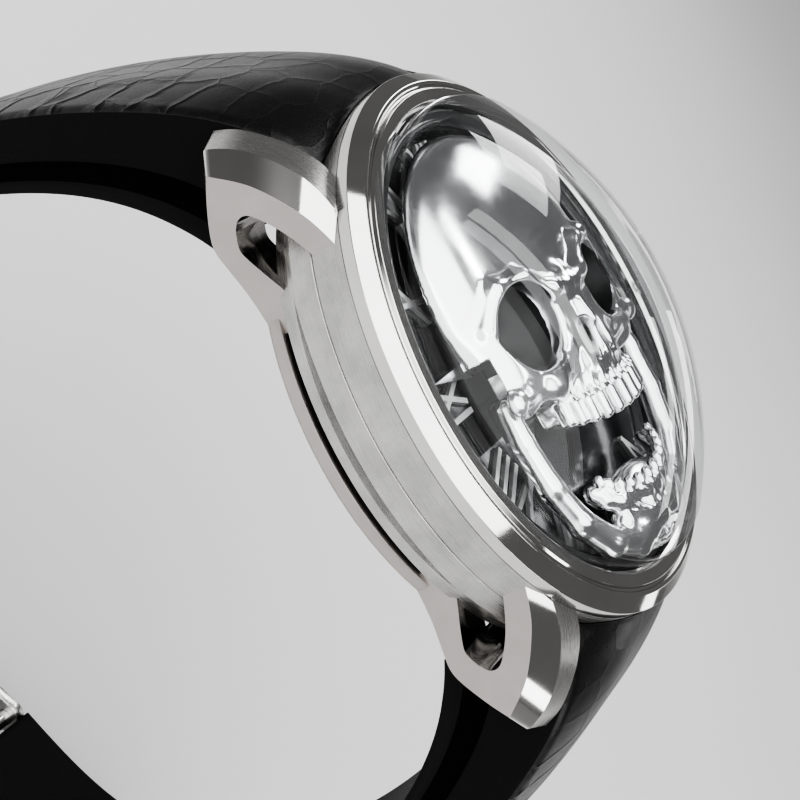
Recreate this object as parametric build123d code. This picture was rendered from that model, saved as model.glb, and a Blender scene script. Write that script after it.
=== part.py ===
"""Skeleton wristwatch with a domed crystal, a skull under it and a leather strap.

Millimetres. +Z is the dial's normal, +Y is 12 o'clock and +X is 3 o'clock, where the crown is.
The origin is the centre of the caseback's rest plane.
"""

import os
from math import atan2, cos, degrees, pi, radians, sin, sqrt

from build123d import *

# ---- driving dimensions -------------------------------------------------------------------
CASE_R = 21.5            # band radius: the case is 43 mm across
BAND_LOW = 4.7           # lower edge of the band
BAND_TOP = 9.0           # the bezel starts here
INNER_R = 17.9           # bore of the case middle
GROOVE_Z = 6.5           # thin turned line that halves the band
BEZEL_BEVEL_R = 20.5
BEZEL_BEVEL_Z = 10.77
CRYSTAL_R = 18.5         # outside of the crystal's upright wall
CRYSTAL_WALL_TOP = 12.64
DOME_RISE = 6.19         # crown of the dome above the upright wall
CRYSTAL_THICK = 1.4
LUG_OUT_X = 17.05        # flat outer face of the lugs
LUG_IN_X = 12.94         # face beside the strap
LUG_EDGE_X = 15.6        # ridge between the brushed top and the polished facet
STRAP_HALF = 12.5        # half the strap's width at the lugs
STRAP_END_HALF = 9.4     # and at the clasp
LINING = 1.6             # thickness of the lining under the leather
FIT = 0.02               # gap of a seated joint
RUN = 0.04               # radial gap of a running joint

# Heights of the movement, from the back to the dial.
ROTOR_Z = (2.2, 3.2)
WINDING_Z = (3.42, 3.72)
BRIDGE_Z = (3.85, 4.3)
PLATE_Z = (5.8, 6.8)
MOTION_Z = (6.95, 7.25)
DIAL_Z = (8.3, 8.7)
HOUR_Z = (9.15, 9.3)
MINUTE_Z = (9.45, 9.6)
SKULL_Z = 10.0           # underside of the skull

# Going train: (teeth of the wheel, its module, teeth of its pinion), and bearings in degrees.
BARREL_TEETH, BARREL_MODULE = 60, 0.2
GREAT = (48, 0.15, 12)
THIRD = (45, 0.14, 10)
FOURTH = (42, 0.13, 9)
ESCAPE_TEETH, ESCAPE_PINION, ESCAPE_R = 15, 7, 2.2
BARREL_PLACE = (10.31, 65.0)   # radius and bearing from the dial's centre
TRAIN_BEARINGS = (-79.0, -94.0, -144.0, -134.0, -160.8)
FORK_GAP, STAFF_GAP = 3.1, 7.85  # escape wheel to fork and to balance staff
RATCHET_TEETH, CROWN_WHEEL_TEETH, WINDING_MODULE = 54, 33, 0.2
CROWN_WHEEL_BEARING = -42.0
CANNON_TEETH, MINUTE_WHEEL_TEETH, MOTION_MODULE = 12, 36, 0.2
MINUTE_PINION_TEETH, HOUR_WHEEL_TEETH = 10, 40
MINUTE_WHEEL_BEARING = 150.0
ARBOR_R, PIVOT_R, JEWEL_R = 0.3, 0.1, 0.5

# Hands at rest show about 7:46. Bearings are clockwise from 12 o'clock.
HOUR_BEARING, MINUTE_BEARING = 233.0, 276.0

STEM_Z = 4.9
CROWN_R = 2.9
WINDING_PINION_R, WINDING_PINION_TEETH = 1.1, 12
WINDING_PINION_X = (10.6, 11.6)
JAW_REAR_Y = -1.7        # rear ends of the jaw's arms
JAW_LOW, JAW_HIGH = 10.3, 11.6
JAW_TRAVEL = 2.8         # how far the jaw closes
JAW_ROOM = 0.3           # gap that the skull keeps round the jaw's arms

PARTS = {}


# ---- helpers ------------------------------------------------------------------------------
def disc(radius, low, high, at=(0.0, 0.0)):
    """An upright cylinder between two heights."""
    return Pos(at[0], at[1], low) * Cylinder(
        radius, high - low, align=(Align.CENTER, Align.CENTER, Align.MIN)
    )


def ring(outer, inner, low, high, at=(0.0, 0.0)):
    return disc(outer, low, high, at) - disc(inner, low - 1, high + 1, at)


def turned(points):
    """A closed outline of (radius, height) points turned about the Z axis."""
    outline = make_face(Polyline(*[(r, 0, z) for r, z in points], close=True))
    return revolve(outline, Axis.Z)


def plate(points, low, high):
    """A closed outline of (x, y) points raised between two heights."""
    outline = make_face(Polyline(*[(x, y, low) for x, y in points], close=True))
    return extrude(outline, high - low, dir=(0, 0, 1))


def side_plate(points, start, end):
    """A closed outline of (y, z) points carried along X."""
    outline = make_face(Polyline(*[(start, y, z) for y, z in points], close=True))
    return extrude(outline, end - start, dir=(1, 0, 0))


def block(low, high):
    """A box from its lowest to its highest corner."""
    size = [b - a for a, b in zip(low, high)]
    return Pos(*low) * Box(*size, align=(Align.MIN, Align.MIN, Align.MIN))


def polar(radius, bearing, centre=(0.0, 0.0)):
    """The point at a distance and an anticlockwise bearing from +X."""
    return (
        centre[0] + radius * cos(radians(bearing)),
        centre[1] + radius * sin(radians(bearing)),
    )


def clock(radius, bearing):
    """The point at a clockwise bearing from 12 o'clock."""
    return polar(radius, 90.0 - bearing)


def rod_x(radius, start, end, y, z):
    """A cylinder along X."""
    return Pos(start, y, z) * Rot(0, 90, 0) * Cylinder(
        radius, end - start, align=(Align.CENTER, Align.CENTER, Align.MIN)
    )


def toothed(teeth, module, low, high, at, toward):
    """A gear blank with straight-sided teeth, one of them pointing along the bearing."""
    pitch_r = teeth * module / 2
    tip_r = pitch_r + 0.75 * module
    root_r = pitch_r - 1.15 * module
    step = 360.0 / teeth
    points = []
    for tooth in range(teeth):
        middle = toward + tooth * step
        points.append(polar(root_r, middle - 0.30 * step, at))
        points.append(polar(tip_r, middle - 0.13 * step, at))
        points.append(polar(tip_r, middle + 0.13 * step, at))
        points.append(polar(root_r, middle + 0.30 * step, at))
    return plate(points, low, high)


def pinion(teeth, module, low, high, at, toward):
    """A gear that has a gap, not a tooth, on the line to its partner."""
    return toothed(teeth, module, low, high, at, toward + 180.0 / teeth)


def spoked(wheel, rim_r, hub_r, low, high, at, spokes=5):
    """Opens the web of a wheel and leaves its spokes."""
    web = ring(rim_r, hub_r, low - 0.1, high + 0.1, at)
    arm = block((0, -0.16, low - 0.2), (rim_r + 1, 0.16, high + 0.2))
    for number in range(spokes):
        web -= Pos(at[0], at[1], 0) * Rot(0, 0, 360.0 * number / spokes) * arm
    return wheel - web


def save(name, shape):
    PARTS[name] = shape


def group(*shapes):
    """Separate solids kept in one node."""
    solids = []
    for shape in shapes:
        solids.extend(shape.solids())
    return Compound(children=solids)


# ---- places of the movement ---------------------------------------------------------------
BARREL = polar(*BARREL_PLACE)
GREAT_AT = polar(
    (BARREL_TEETH + GREAT[2]) * BARREL_MODULE / 2, TRAIN_BEARINGS[0], BARREL
)
THIRD_AT = polar((GREAT[0] + THIRD[2]) * GREAT[1] / 2, TRAIN_BEARINGS[1], GREAT_AT)
FOURTH_AT = polar((THIRD[0] + FOURTH[2]) * THIRD[1] / 2, TRAIN_BEARINGS[2], THIRD_AT)
ESCAPE_AT = polar(
    (FOURTH[0] + ESCAPE_PINION) * FOURTH[1] / 2, TRAIN_BEARINGS[3], FOURTH_AT
)
FORK_AT = polar(FORK_GAP, TRAIN_BEARINGS[4], ESCAPE_AT)
STAFF_AT = polar(STAFF_GAP, TRAIN_BEARINGS[4], ESCAPE_AT)
CROWN_WHEEL_AT = polar(
    (RATCHET_TEETH + CROWN_WHEEL_TEETH) * WINDING_MODULE / 2, CROWN_WHEEL_BEARING, BARREL
)
MINUTE_WHEEL_AT = polar(
    (CANNON_TEETH + MINUTE_WHEEL_TEETH) * MOTION_MODULE / 2, MINUTE_WHEEL_BEARING
)
HOUR_MODULE = MOTION_MODULE * (CANNON_TEETH + MINUTE_WHEEL_TEETH) / (
    MINUTE_PINION_TEETH + HOUR_WHEEL_TEETH
)
PIVOTS = (GREAT_AT, THIRD_AT, FOURTH_AT, ESCAPE_AT)

# Screw places of the bridges, and of the feet beside them.
BARREL_FEET = (polar(15.6, 38.0), polar(15.6, 96.0))
TRAIN_FEET = (polar(15.6, -8.0), polar(15.6, -62.0), polar(6.4, 160.0))
COCK_FEET = (polar(15.7, -158.0),)
FORK_FEET = (polar(3.4, -75.0, FORK_AT),)
FOOT_R, SCREW_HEAD_R, SCREW_R = 1.15, 0.6, 0.3
RING_IN = 16.95          # bore of the ring that holds the movement


# ---- case ---------------------------------------------------------------------------------
def crescent_cutter(side):
    """The crescent step under the band: a V groove whose bottom runs on a larger circle."""
    shift, apex_r, reach = 6.2, 26.5, 4.0
    groove = turned(
        [
            (apex_r, 4.2),
            (apex_r + reach, 4.2 + 0.42 * reach),
            (apex_r + reach, 4.2 - 0.62 * reach),
        ]
    )
    return Pos(-side * shift, 0, 0) * groove


def case_middle():
    body = turned(
        [
            (INNER_R, 2.3),
            (19.6, 2.3),
            (20.7, 2.9),
            (21.0, 3.9),
            (21.1, 4.45),
            (CASE_R, BAND_LOW),
            (CASE_R, GROOVE_Z - 0.08),
            (CASE_R - 0.12, GROOVE_Z),
            (CASE_R, GROOVE_Z + 0.08),
            (CASE_R, BAND_TOP),
            (INNER_R, BAND_TOP),
        ]
    )
    for side in (-1, 1):
        body -= crescent_cutter(side)
    body -= rod_x(1.3, 15.0, 25.0, 0, STEM_Z)
    return body


def lug_outline(outer):
    """(y, z) corners of a lug: on its outer face, or on the face beside the strap."""
    if outer:
        return [
            (12.0, 8.9), (15.1, 7.9), (16.9, 6.8), (18.4, 5.7), (19.6, 4.6), (21.2, 2.4),
            (19.7, 1.4), (17.6, 0.3), (16.5, 0.02), (15.1, 0.3), (12.6, 0.8), (9.0, 1.0),
        ]
    return [
        (16.0, 9.0), (18.2, 8.5), (20.3, 7.1), (21.9, 5.5), (23.2, 3.9), (23.9, 2.2),
        (22.2, 1.3), (19.6, 0.4), (17.6, 0.1), (16.0, 0.3), (13.6, 0.8), (10.0, 1.0),
    ]


def lug_section(x, outer_share):
    """The lug's outline at one X, between its two faces."""
    near, far = lug_outline(True), lug_outline(False)
    inner_share = 1 - outer_share
    return [
        (x, a[0] * outer_share + b[0] * inner_share, a[1] * outer_share + b[1] * inner_share)
        for a, b in zip(near, far)
    ]


RIDGE_LIFT = 0.35        # how far the ridge of a lug stands proud of a flat top
TOP_CORNERS = 6          # the outline's first corners lie on the lug's top


def lug(side, end):
    """One lug loop: side is -1 or 1 along X, end is -1 or 1 along Y."""
    sections = []
    for x, share, lift in (
        (LUG_IN_X, 0.0, 0.0),
        (LUG_EDGE_X, 0.40, RIDGE_LIFT),
        (LUG_OUT_X, 1.0, 0.0),
    ):
        raised = []
        for number, (px, py, pz) in enumerate(lug_section(x, share)):
            up = lift if number < TOP_CORNERS else 0.0
            raised.append((px, py + 0.6 * up, pz + up))
        sections.append(make_face(Polyline(*raised, close=True)))
    body = loft(sections, ruled=True)
    hole = side_plate(
        [
            (12.0, 7.2), (14.8, 5.9), (16.2, 5.0), (17.4, 4.0), (17.7, 3.4),
            (17.6, 2.8), (17.0, 2.3), (16.0, 1.85), (15.3, 1.9), (12.0, 3.4),
        ],
        LUG_IN_X - 1,
        LUG_OUT_X + 1,
    )
    body -= hole
    if end < 0:
        body = mirror(body, Plane.XZ)
    if side < 0:
        body = mirror(body, Plane.YZ)
    return body


SPRING_BAR_Y, SPRING_BAR_Z, SPRING_BAR_R = 22.3, 3.0, 0.75
SPRING_BAR_HALF = 14.0
RAIL_OUT, RAIL_IN, RAIL_TOP = 20.05, 17.5, 1.95
BAND_SEAT = 2.28         # the band rests on the lug frames above this height


def lug_frame(side):
    """Two lug loops joined by the curved rail along the back of the case."""
    rail = turned(
        [(RAIL_IN, 0.5), (19.7, 0.7), (RAIL_OUT, 1.0), (RAIL_OUT, RAIL_TOP), (RAIL_IN, RAIL_TOP)]
    )
    keep = block((0, -16.4, 0), (30, 16.4, 3))
    if side < 0:
        keep = mirror(keep, Plane.YZ)
    frame = rail & keep
    for end in (-1, 1):
        frame += lug(side, end)
    frame -= disc(CASE_R + FIT, BAND_SEAT, 20)
    frame -= disc(INNER_R + 0.1, 1.9, 20)
    frame -= disc(RAIL_IN, -1, 20)
    bore = rod_x(SPRING_BAR_R + FIT, -LUG_IN_X - 1.2, LUG_IN_X + 1.2, 0, 0)
    for end in (-1, 1):
        frame -= Pos(0, end * SPRING_BAR_Y, SPRING_BAR_Z) * bore
    for place in LUG_SCREWS:
        if place[0] * side > 0:
            frame -= disc(0.5 + FIT, 0, 4.0, place)
            frame -= disc(0.9 + FIT, -1, 1.0, place)
    return frame


BACK_SCREWS = [polar(15.75, 60.0 * n + 30.0) for n in range(6)]
LUG_SCREWS = [(sx * 15.4, sy * 10.4) for sx in (-1, 1) for sy in (-1, 1)]


def slotted_screw(at, head_r, shank_r, head_low, head_high, shank_end):
    """A screw driven from the back: its slotted head is at the low end."""
    head = disc(head_r, head_low, head_high, at)
    slot = Pos(at[0], at[1], head_low) * Box(head_r * 3, head_r * 0.32, head_r * 0.6)
    return head - slot + disc(shank_r, head_high, shank_end, at)


def build_case():
    tapped = group(*[disc(0.5 + FIT, 2, 3.6, p) for p in LUG_SCREWS])
    save("case_middle", case_middle() - tapped)
    save("lug_frame_left", lug_frame(-1))
    save("lug_frame_right", lug_frame(1))
    screws = [slotted_screw(p, 0.9, 0.5, 0.55, 1.0, 3.5) for p in LUG_SCREWS]
    screws += [slotted_screw(p, 0.75, 0.45, 0.12, 0.85, 2.2) for p in BACK_SCREWS]
    save("case_screws", group(*screws))
    save(
        "bezel",
        turned(
            [
                (17.3, BAND_TOP + FIT),
                (CASE_R, BAND_TOP + FIT),
                (CASE_R, 9.95),
                (BEZEL_BEVEL_R, BEZEL_BEVEL_Z),
                (20.2, BEZEL_BEVEL_Z),
                (20.1, 10.62),
                (19.9, 10.62),
                (19.8, 10.95),
                (18.9, 11.0),
                (CRYSTAL_R + FIT, 10.75),
                (CRYSTAL_R + FIT, 9.7),
                (17.3, 9.7),
            ]
        ),
    )
    save("crystal", crystal())
    back_gasket = ring(14.58, 14.0, 1.7 + FIT, 1.96)
    save("gaskets", group(ring(CRYSTAL_R, 17.3, 9.7 + FIT, 10.0), back_gasket))
    save(
        "dial_flange",
        turned(
            [
                (INNER_R - FIT, DIAL_Z[1] + FIT),
                (INNER_R - FIT, 8.98),
                (17.26, 8.98),
                (17.26, 9.68),
                (17.0, 9.68),
                (16.7, DIAL_Z[1] + FIT),
            ]
        ),
    )


def crystal():
    """Upright wall under a spherical dome, hollow inside."""
    inner_r = CRYSTAL_R - CRYSTAL_THICK
    outer_sphere = (CRYSTAL_R**2 + DOME_RISE**2) / (2 * DOME_RISE)
    centre_z = CRYSTAL_WALL_TOP + DOME_RISE - outer_sphere
    inner_sphere = outer_sphere - CRYSTAL_THICK
    outer = disc(CRYSTAL_R, 10.0 + FIT, 30) & (Pos(0, 0, centre_z) * Sphere(outer_sphere))
    inner = disc(inner_r, 9.0, 30) & (Pos(0, 0, centre_z) * Sphere(inner_sphere))
    return outer - inner


BACK_RING_OUT, BACK_RING_IN = 17.4, 13.6
WINDOW_FLAT_R = 12.2     # the window's outer face is flat inside this radius
WINDOW_Z = (0.0, 1.7)


def build_back():
    body = turned(
        [
            (BACK_RING_IN, 0.3),
            (14.0, 0.0),
            (16.9, 0.0),
            (BACK_RING_OUT, 0.5),
            (BACK_RING_OUT, 1.98),
            (INNER_R - FIT, 1.98),
            (INNER_R - FIT, 2.28),
            (16.9, 2.28),
            (16.9, 1.98),
            (14.6, 1.98),
            (14.6, 0.9),
            (BACK_RING_IN, 0.9),
        ]
    )
    for place in BACK_SCREWS:
        body -= disc(0.45 + FIT, -1, 3, place)
        body -= disc(0.75 + FIT, -1, 0.85, place)
    save("caseback_ring", body)
    low, high = WINDOW_Z
    window = turned(
        [
            (0.0, low),
            (WINDOW_FLAT_R, low),
            (BACK_RING_IN - FIT, low + 0.3),
            (BACK_RING_IN - FIT, 0.9 + FIT),
            (14.58, 0.9 + FIT),
            (14.58, high),
            (0.0, high),
        ]
    )
    save("caseback_window", window)


# ---- crown and winding --------------------------------------------------------------------
def build_crown():
    tube = rod_x(1.28, 17.95, 21.9, 0, STEM_Z) - rod_x(0.62, 10, 30, 0, STEM_Z)
    save("crown_tube", tube)
    crown = rod_x(CROWN_R, 22.1, 25.6, 0, STEM_Z)
    crown = chamfer(crown.edges().filter_by(GeomType.CIRCLE), 0.35)
    flutes = []
    for number in range(24):
        angle = radians(15 * number)
        y, z = CROWN_R * 1.045 * cos(angle), STEM_Z + CROWN_R * 1.045 * sin(angle)
        flutes.append(rod_x(0.24, 22.6, 25.2, y, z))
    crown -= group(*flutes)
    crown -= rod_x(1.75, 22.0, 23.2, 0, STEM_Z)
    save("crown", crown)
    stem = rod_x(0.32, 10.2, 23.21, 0, STEM_Z)
    stem += rod_x(0.58, 18.4, 23.2, 0, STEM_Z)
    square = Pos(0, 0, STEM_Z) * block((8.95, -0.22, -0.22), (10.3, 0.22, 0.22))
    save("crown_gasket", rod_x(1.72, 22.3, 22.9, 0, STEM_Z) - rod_x(0.62, 20, 30, 0, STEM_Z))
    sliding = rod_x(0.7, 9.0, 9.5, 0, STEM_Z) - (
        Pos(0, 0, STEM_Z) * block((8, -0.24, -0.24), (13, 0.24, 0.24))
    )
    save("stem", group(stem + square, sliding))
    # The winding pinion turns on the round part of the stem, under the crown wheel's rim.
    low, high = WINDING_PINION_X
    grooves = []
    for number in range(WINDING_PINION_TEETH):
        angle = radians(360.0 * number / WINDING_PINION_TEETH)
        y, z = WINDING_PINION_R * cos(angle), STEM_Z + WINDING_PINION_R * sin(angle)
        grooves.append(rod_x(0.15, low, high, y, z))
    winding = rod_x(WINDING_PINION_R, low, high, 0, STEM_Z) - group(*grooves)
    save("winding_pinion", winding - rod_x(0.32 + RUN, low - 1, high + 1, 0, STEM_Z))


def build_winding():
    low, high = WINDING_Z
    bearing = CROWN_WHEEL_BEARING
    ratchet = toothed(RATCHET_TEETH, WINDING_MODULE, low, high, BARREL, bearing)
    ratchet -= disc(0.62, low - 1, high + 1, BARREL)
    save("ratchet_wheel", ratchet)
    crown_wheel = pinion(
        CROWN_WHEEL_TEETH, WINDING_MODULE, low, high, CROWN_WHEEL_AT, bearing + 180
    )
    save("crown_wheel", crown_wheel - disc(0.9, low - 1, high + 1, CROWN_WHEEL_AT))


# ---- movement -----------------------------------------------------------------------------
def bridge(places, radius):
    """A flat bridge over the places, shaped like a band drawn round them."""
    outline = make_hull([e for p in places for e in (Pos(*p) * Circle(radius)).edges()])
    body = extrude(Pos(0, 0, BRIDGE_Z[0]) * outline, BRIDGE_Z[1] - BRIDGE_Z[0])
    return body & disc(RING_IN - RUN, 0, 10)


def zone(places, radius):
    """The room that one bridge takes from its neighbours."""
    return extrude(bridge(places, radius).faces().sort_by(Axis.Z)[-1], 3, both=True)


def screwed(body, feet):
    """Adds the feet of a bridge and drills its screw holes."""
    for place in feet:
        body += disc(FOOT_R, BRIDGE_Z[0], PLATE_Z[0] - FIT, place)
    for place in feet:
        body -= disc(SCREW_R + FIT, 0, 10, place)
    return body


def jewelled(body, places):
    for place in places:
        body -= disc(JEWEL_R + FIT, 0, 20, place)
    return body


def build_plates():
    train_places = [*PIVOTS, (0.0, 0.0), *TRAIN_FEET]
    barrel_places = [BARREL, CROWN_WHEEL_AT, *BARREL_FEET]
    train = bridge(train_places, 1.5)
    barrel = bridge(barrel_places, 1.6)
    cock = bridge([STAFF_AT, *COCK_FEET], 1.3)
    fork = bridge([FORK_AT, *FORK_FEET], 0.95)
    train -= zone(barrel_places, 1.75)
    train = screwed(jewelled(train, PIVOTS), TRAIN_FEET)
    train = train.solids().sort_by(SortBy.VOLUME)[-1]
    for place in (STAFF_AT, FORK_AT, *FORK_FEET):
        train -= disc(2.6 if place == STAFF_AT else 1.3, 0, PLATE_Z[0] + 1, place)
    train -= block((8.7, -1.3, 3.0), (RING_IN, 1.3, 7.0))
    train += disc(1.3 - RUN, ROTOR_Z[0] + 0.45, ROTOR_Z[1]) + disc(0.8, ROTOR_Z[1], BRIDGE_Z[1])
    save("train_bridge", train)
    barrel = screwed(barrel, BARREL_FEET) - disc(0.6 + RUN, 0, 10, BARREL)
    barrel -= block((8.7, -2.0, 3.0), (20, 1.6, 7.0))
    barrel += disc(0.9 - RUN, WINDING_Z[0] - 0.15, BRIDGE_Z[0], CROWN_WHEEL_AT)
    barrel += disc(1.3, WINDING_Z[0] - 0.15, WINDING_Z[0] - RUN, CROWN_WHEEL_AT)
    save("barrel_bridge", barrel)
    cock -= zone([FORK_AT, *FORK_FEET], 1.1)
    save("balance_cock", screwed(jewelled(cock, [STAFF_AT]), COCK_FEET))
    save("pallet_bridge", screwed(jewelled(fork, [FORK_AT]), FORK_FEET))
    plate_body = disc(INNER_R - FIT, *PLATE_Z)
    plate_body = jewelled(plate_body, [*PIVOTS, FORK_AT, STAFF_AT])
    plate_body -= disc(0.8 + RUN, 0, 10, BARREL)
    plate_body -= disc(0.5 + FIT, 0, 10)
    low, high = WINDING_PINION_X
    plate_body -= rod_x(WINDING_PINION_R + 0.1, low - 0.1, high + 0.1, 0, STEM_Z)
    plate_body -= disc(0.35 + RUN, 6.0, 10, MINUTE_WHEEL_AT)
    screws = []
    for place in (*BARREL_FEET, *TRAIN_FEET, *COCK_FEET, *FORK_FEET):
        plate_body -= disc(SCREW_R + FIT, 0, 6.6, place)
        screws.append(slotted_screw(place, SCREW_HEAD_R, SCREW_R, 3.5, BRIDGE_Z[0], 6.5))
    save("mainplate", plate_body)
    save("bridge_screws", group(*screws))
    rings = []
    for place in (*PIVOTS, FORK_AT, STAFF_AT):
        rings.append(ring(JEWEL_R, PIVOT_R + 0.03, 3.9, 4.25, place))
        rings.append(ring(JEWEL_R, PIVOT_R + 0.03, PLATE_Z[0] + 0.05, 6.3, place))
    save("jewels", group(*rings))
    holder = ring(INNER_R - FIT, RING_IN, 2.32, PLATE_Z[0] - FIT)
    save("movement_ring", holder - rod_x(1.4, 10, 25, 0, STEM_Z))


def arbor(at):
    """A train arbor with its two pivots."""
    return disc(ARBOR_R, BRIDGE_Z[1] + 0.05, PLATE_Z[0] - 0.05, at) + disc(PIVOT_R, 3.95, 6.2, at)


def build_train():
    toward = TRAIN_BEARINGS
    barrel = toothed(BARREL_TEETH, BARREL_MODULE, 4.42, 4.85, BARREL, toward[0])
    barrel += disc(5.55, 4.42, 5.3, BARREL)
    barrel -= disc(5.2, 4.6, 5.15, BARREL)
    barrel -= disc(0.8 + RUN, 4, 6, BARREL)
    save("barrel", barrel)
    save("barrel_arbor", disc(0.8, 4.42, 6.6, BARREL) + disc(0.6, WINDING_Z[0] - 0.1, 4.42, BARREL))
    save("mainspring", spiral(BARREL, 1.2, 5.0, 7, 0.10, 4.65, 5.1))

    great = toothed(GREAT[0], GREAT[1], 5.45, 5.62, GREAT_AT, toward[1])
    great = spoked(great, 2.9, 0.8, 5.45, 5.62, GREAT_AT)
    great += pinion(GREAT[2], BARREL_MODULE, 4.42, 4.92, GREAT_AT, toward[0] + 180)
    save("great_wheel", great + arbor(GREAT_AT))

    third = toothed(THIRD[0], THIRD[1], 5.05, 5.2, THIRD_AT, toward[2])
    third = spoked(third, 2.5, 0.7, 5.05, 5.2, THIRD_AT)
    third += pinion(THIRD[2], GREAT[1], 5.32, 5.7, THIRD_AT, toward[1] + 180)
    save("third_wheel", third + arbor(THIRD_AT))

    fourth = toothed(FOURTH[0], FOURTH[1], 4.5, 4.65, FOURTH_AT, toward[3])
    fourth = spoked(fourth, 2.15, 0.6, 4.5, 4.65, FOURTH_AT)
    fourth += pinion(FOURTH[2], THIRD[1], 4.9, 5.35, FOURTH_AT, toward[2] + 180)
    save("fourth_wheel", fourth + arbor(FOURTH_AT))

    points = []
    for tooth in range(ESCAPE_TEETH):
        middle = 360.0 * tooth / ESCAPE_TEETH
        points.append(polar(ESCAPE_R * 0.76, middle, ESCAPE_AT))
        points.append(polar(ESCAPE_R, middle + 7.0, ESCAPE_AT))
        points.append(polar(ESCAPE_R * 0.97, middle + 10.0, ESCAPE_AT))
        points.append(polar(ESCAPE_R * 0.76, middle + 8.0, ESCAPE_AT))
    escape = spoked(plate(points, 5.05, 5.2), 1.4, 0.5, 5.05, 5.2, ESCAPE_AT, 4)
    escape += pinion(ESCAPE_PINION, FOURTH[1], 4.42, 4.8, ESCAPE_AT, toward[3] + 180)
    save("escape_wheel", escape + arbor(ESCAPE_AT))

    save("pallet_fork", pallet_fork(toward[4]))
    build_balance(toward[4])


def pallet_fork(bearing):
    """Lever with two pallets beside the escape wheel and a notch towards the balance."""
    body = block((-0.22, -1.5, 5.05), (0.22, 1.5, 5.2)) + block((0, -0.2, 5.05), (3.3, 0.2, 5.2))
    for end in (-1, 1):
        stone = block((-0.85, -0.22, 4.98), (0.2, 0.22, 5.27))
        body += Pos(0, end * 1.45, 0) * stone
    body -= block((2.9, -0.09, 5), (3.4, 0.09, 5.3))
    turned_body = Pos(FORK_AT[0], FORK_AT[1], 0) * Rot(0, 0, bearing) * body
    return turned_body + arbor(FORK_AT)


BALANCE_R = 4.1


def build_balance(bearing):
    low, high = 4.62, 4.86
    wheel = ring(BALANCE_R, BALANCE_R - 0.55, low, high, STAFF_AT)
    wheel += disc(0.6, low, high, STAFF_AT)
    arm = block((-BALANCE_R + 0.3, -0.25, low), (BALANCE_R - 0.3, 0.25, high))
    wheel += Pos(STAFF_AT[0], STAFF_AT[1], 0) * Rot(0, 0, bearing + 90) * arm
    for number in range(8):
        place = polar(BALANCE_R + 0.02, bearing + 22.5 + 45 * number, STAFF_AT)
        wheel += disc(0.2, low + 0.02, high - 0.02, place)
    wheel += disc(0.75, 5.0, 5.15, STAFF_AT)
    save("balance_wheel", wheel + arbor(STAFF_AT))
    spring = spiral(STAFF_AT, 0.45, 2.5, 6, 0.06, 4.38, 4.5)
    save("hairspring", spring + ring(0.5, ARBOR_R + 0.01, 4.38, 4.5, STAFF_AT))


def spiral(at, inner, outer, turns, width, low, high):
    """A flat coiled ribbon."""
    steps = turns * 20
    out_side, in_side = [], []
    for number in range(steps + 1):
        share = number / steps
        angle = 360.0 * turns * share
        radius = inner + (outer - inner) * share
        out_side.append(polar(radius + width / 2, angle, at))
        in_side.append(polar(radius - width / 2, angle, at))
    return plate(out_side + in_side[::-1], low, high)


def build_rotor():
    low, high = ROTOR_Z
    weight = ring(16.2, 12.4, low, high)
    web = ring(12.5, 2.2, low + 0.55, high)
    half = block((-20, -20, 0), (20, 0.0, 10))
    body = (weight + web) & half
    for bearing in (-45, -90, -135):
        body -= ring(11.6, 5.0, 0, 10) & (
            Rot(0, 0, bearing) * block((4.0, -1.8, 0), (13.0, 1.8, 10))
        )
    body += ring(2.6, 1.3, low + 0.55, high)
    save("rotor", body)


# ---- dial, hands and motion work ----------------------------------------------------------
def build_motion():
    low, high = MOTION_Z
    bearing = MINUTE_WHEEL_BEARING
    cannon = toothed(CANNON_TEETH, MOTION_MODULE, low - 0.05, high + 0.05, (0, 0), bearing)
    cannon += disc(0.92, low - 0.05, MINUTE_Z[1])
    save("cannon_pinion", cannon - disc(0.5 + RUN, 0, 20))
    wheel = pinion(MINUTE_WHEEL_TEETH, MOTION_MODULE, low, high, MINUTE_WHEEL_AT, bearing + 180)
    wheel = spoked(wheel, 2.9, 0.9, low, high, MINUTE_WHEEL_AT)
    wheel += toothed(MINUTE_PINION_TEETH, HOUR_MODULE, high, 7.95, MINUTE_WHEEL_AT, bearing + 180)
    save("minute_wheel", wheel + disc(0.35, 6.1, 8.1, MINUTE_WHEEL_AT))
    hour = pinion(HOUR_WHEEL_TEETH, HOUR_MODULE, 7.5, 7.8, (0, 0), bearing)
    hour = spoked(hour, 3.2, 1.6, 7.5, 7.8, (0, 0))
    hour += disc(1.4, 7.5, HOUR_Z[1])
    save("hour_wheel", hour - disc(0.92 + RUN, 0, 20))


HAND_HEAD = 5.2          # length of a hand's triangular tip
HAND_ARM = 0.45          # half the width of its arm


def hand(bearing, low, high, hub_r, bore_r, reach, half_width):
    """A slim arm that ends in a long triangle."""
    head = reach - HAND_HEAD
    right = [(0, reach), (half_width, head), (HAND_ARM, head), (HAND_ARM, 0)]
    left = [(-x, y) for x, y in right[:0:-1]]
    body = plate(left + right, low, high) + disc(hub_r, low, high)
    body -= disc(bore_r, low - 1, high + 1)
    return Rot(0, 0, -bearing) * body


def stroke(start, end, width):
    """A raised bar between two places."""
    dx, dy = end[0] - start[0], end[1] - start[1]
    length = sqrt(dx * dx + dy * dy)
    bar = block((-width / 2, -width / 2, 0), (length + width / 2, width / 2, 0.35))
    return Pos(start[0], start[1], DIAL_Z[1] + FIT) * Rot(0, 0, degrees(atan2(dy, dx))) * bar


NUMERALS = ("XII", "I", "II", "III", "IV", "V", "VI", "VII", "VIII", "IX", "X", "XI")
NUMERAL_IN, NUMERAL_OUT = 12.6, 16.3
LETTER_WIDTH = {"I": 0.95, "V": 2.1, "X": 2.1}


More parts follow.
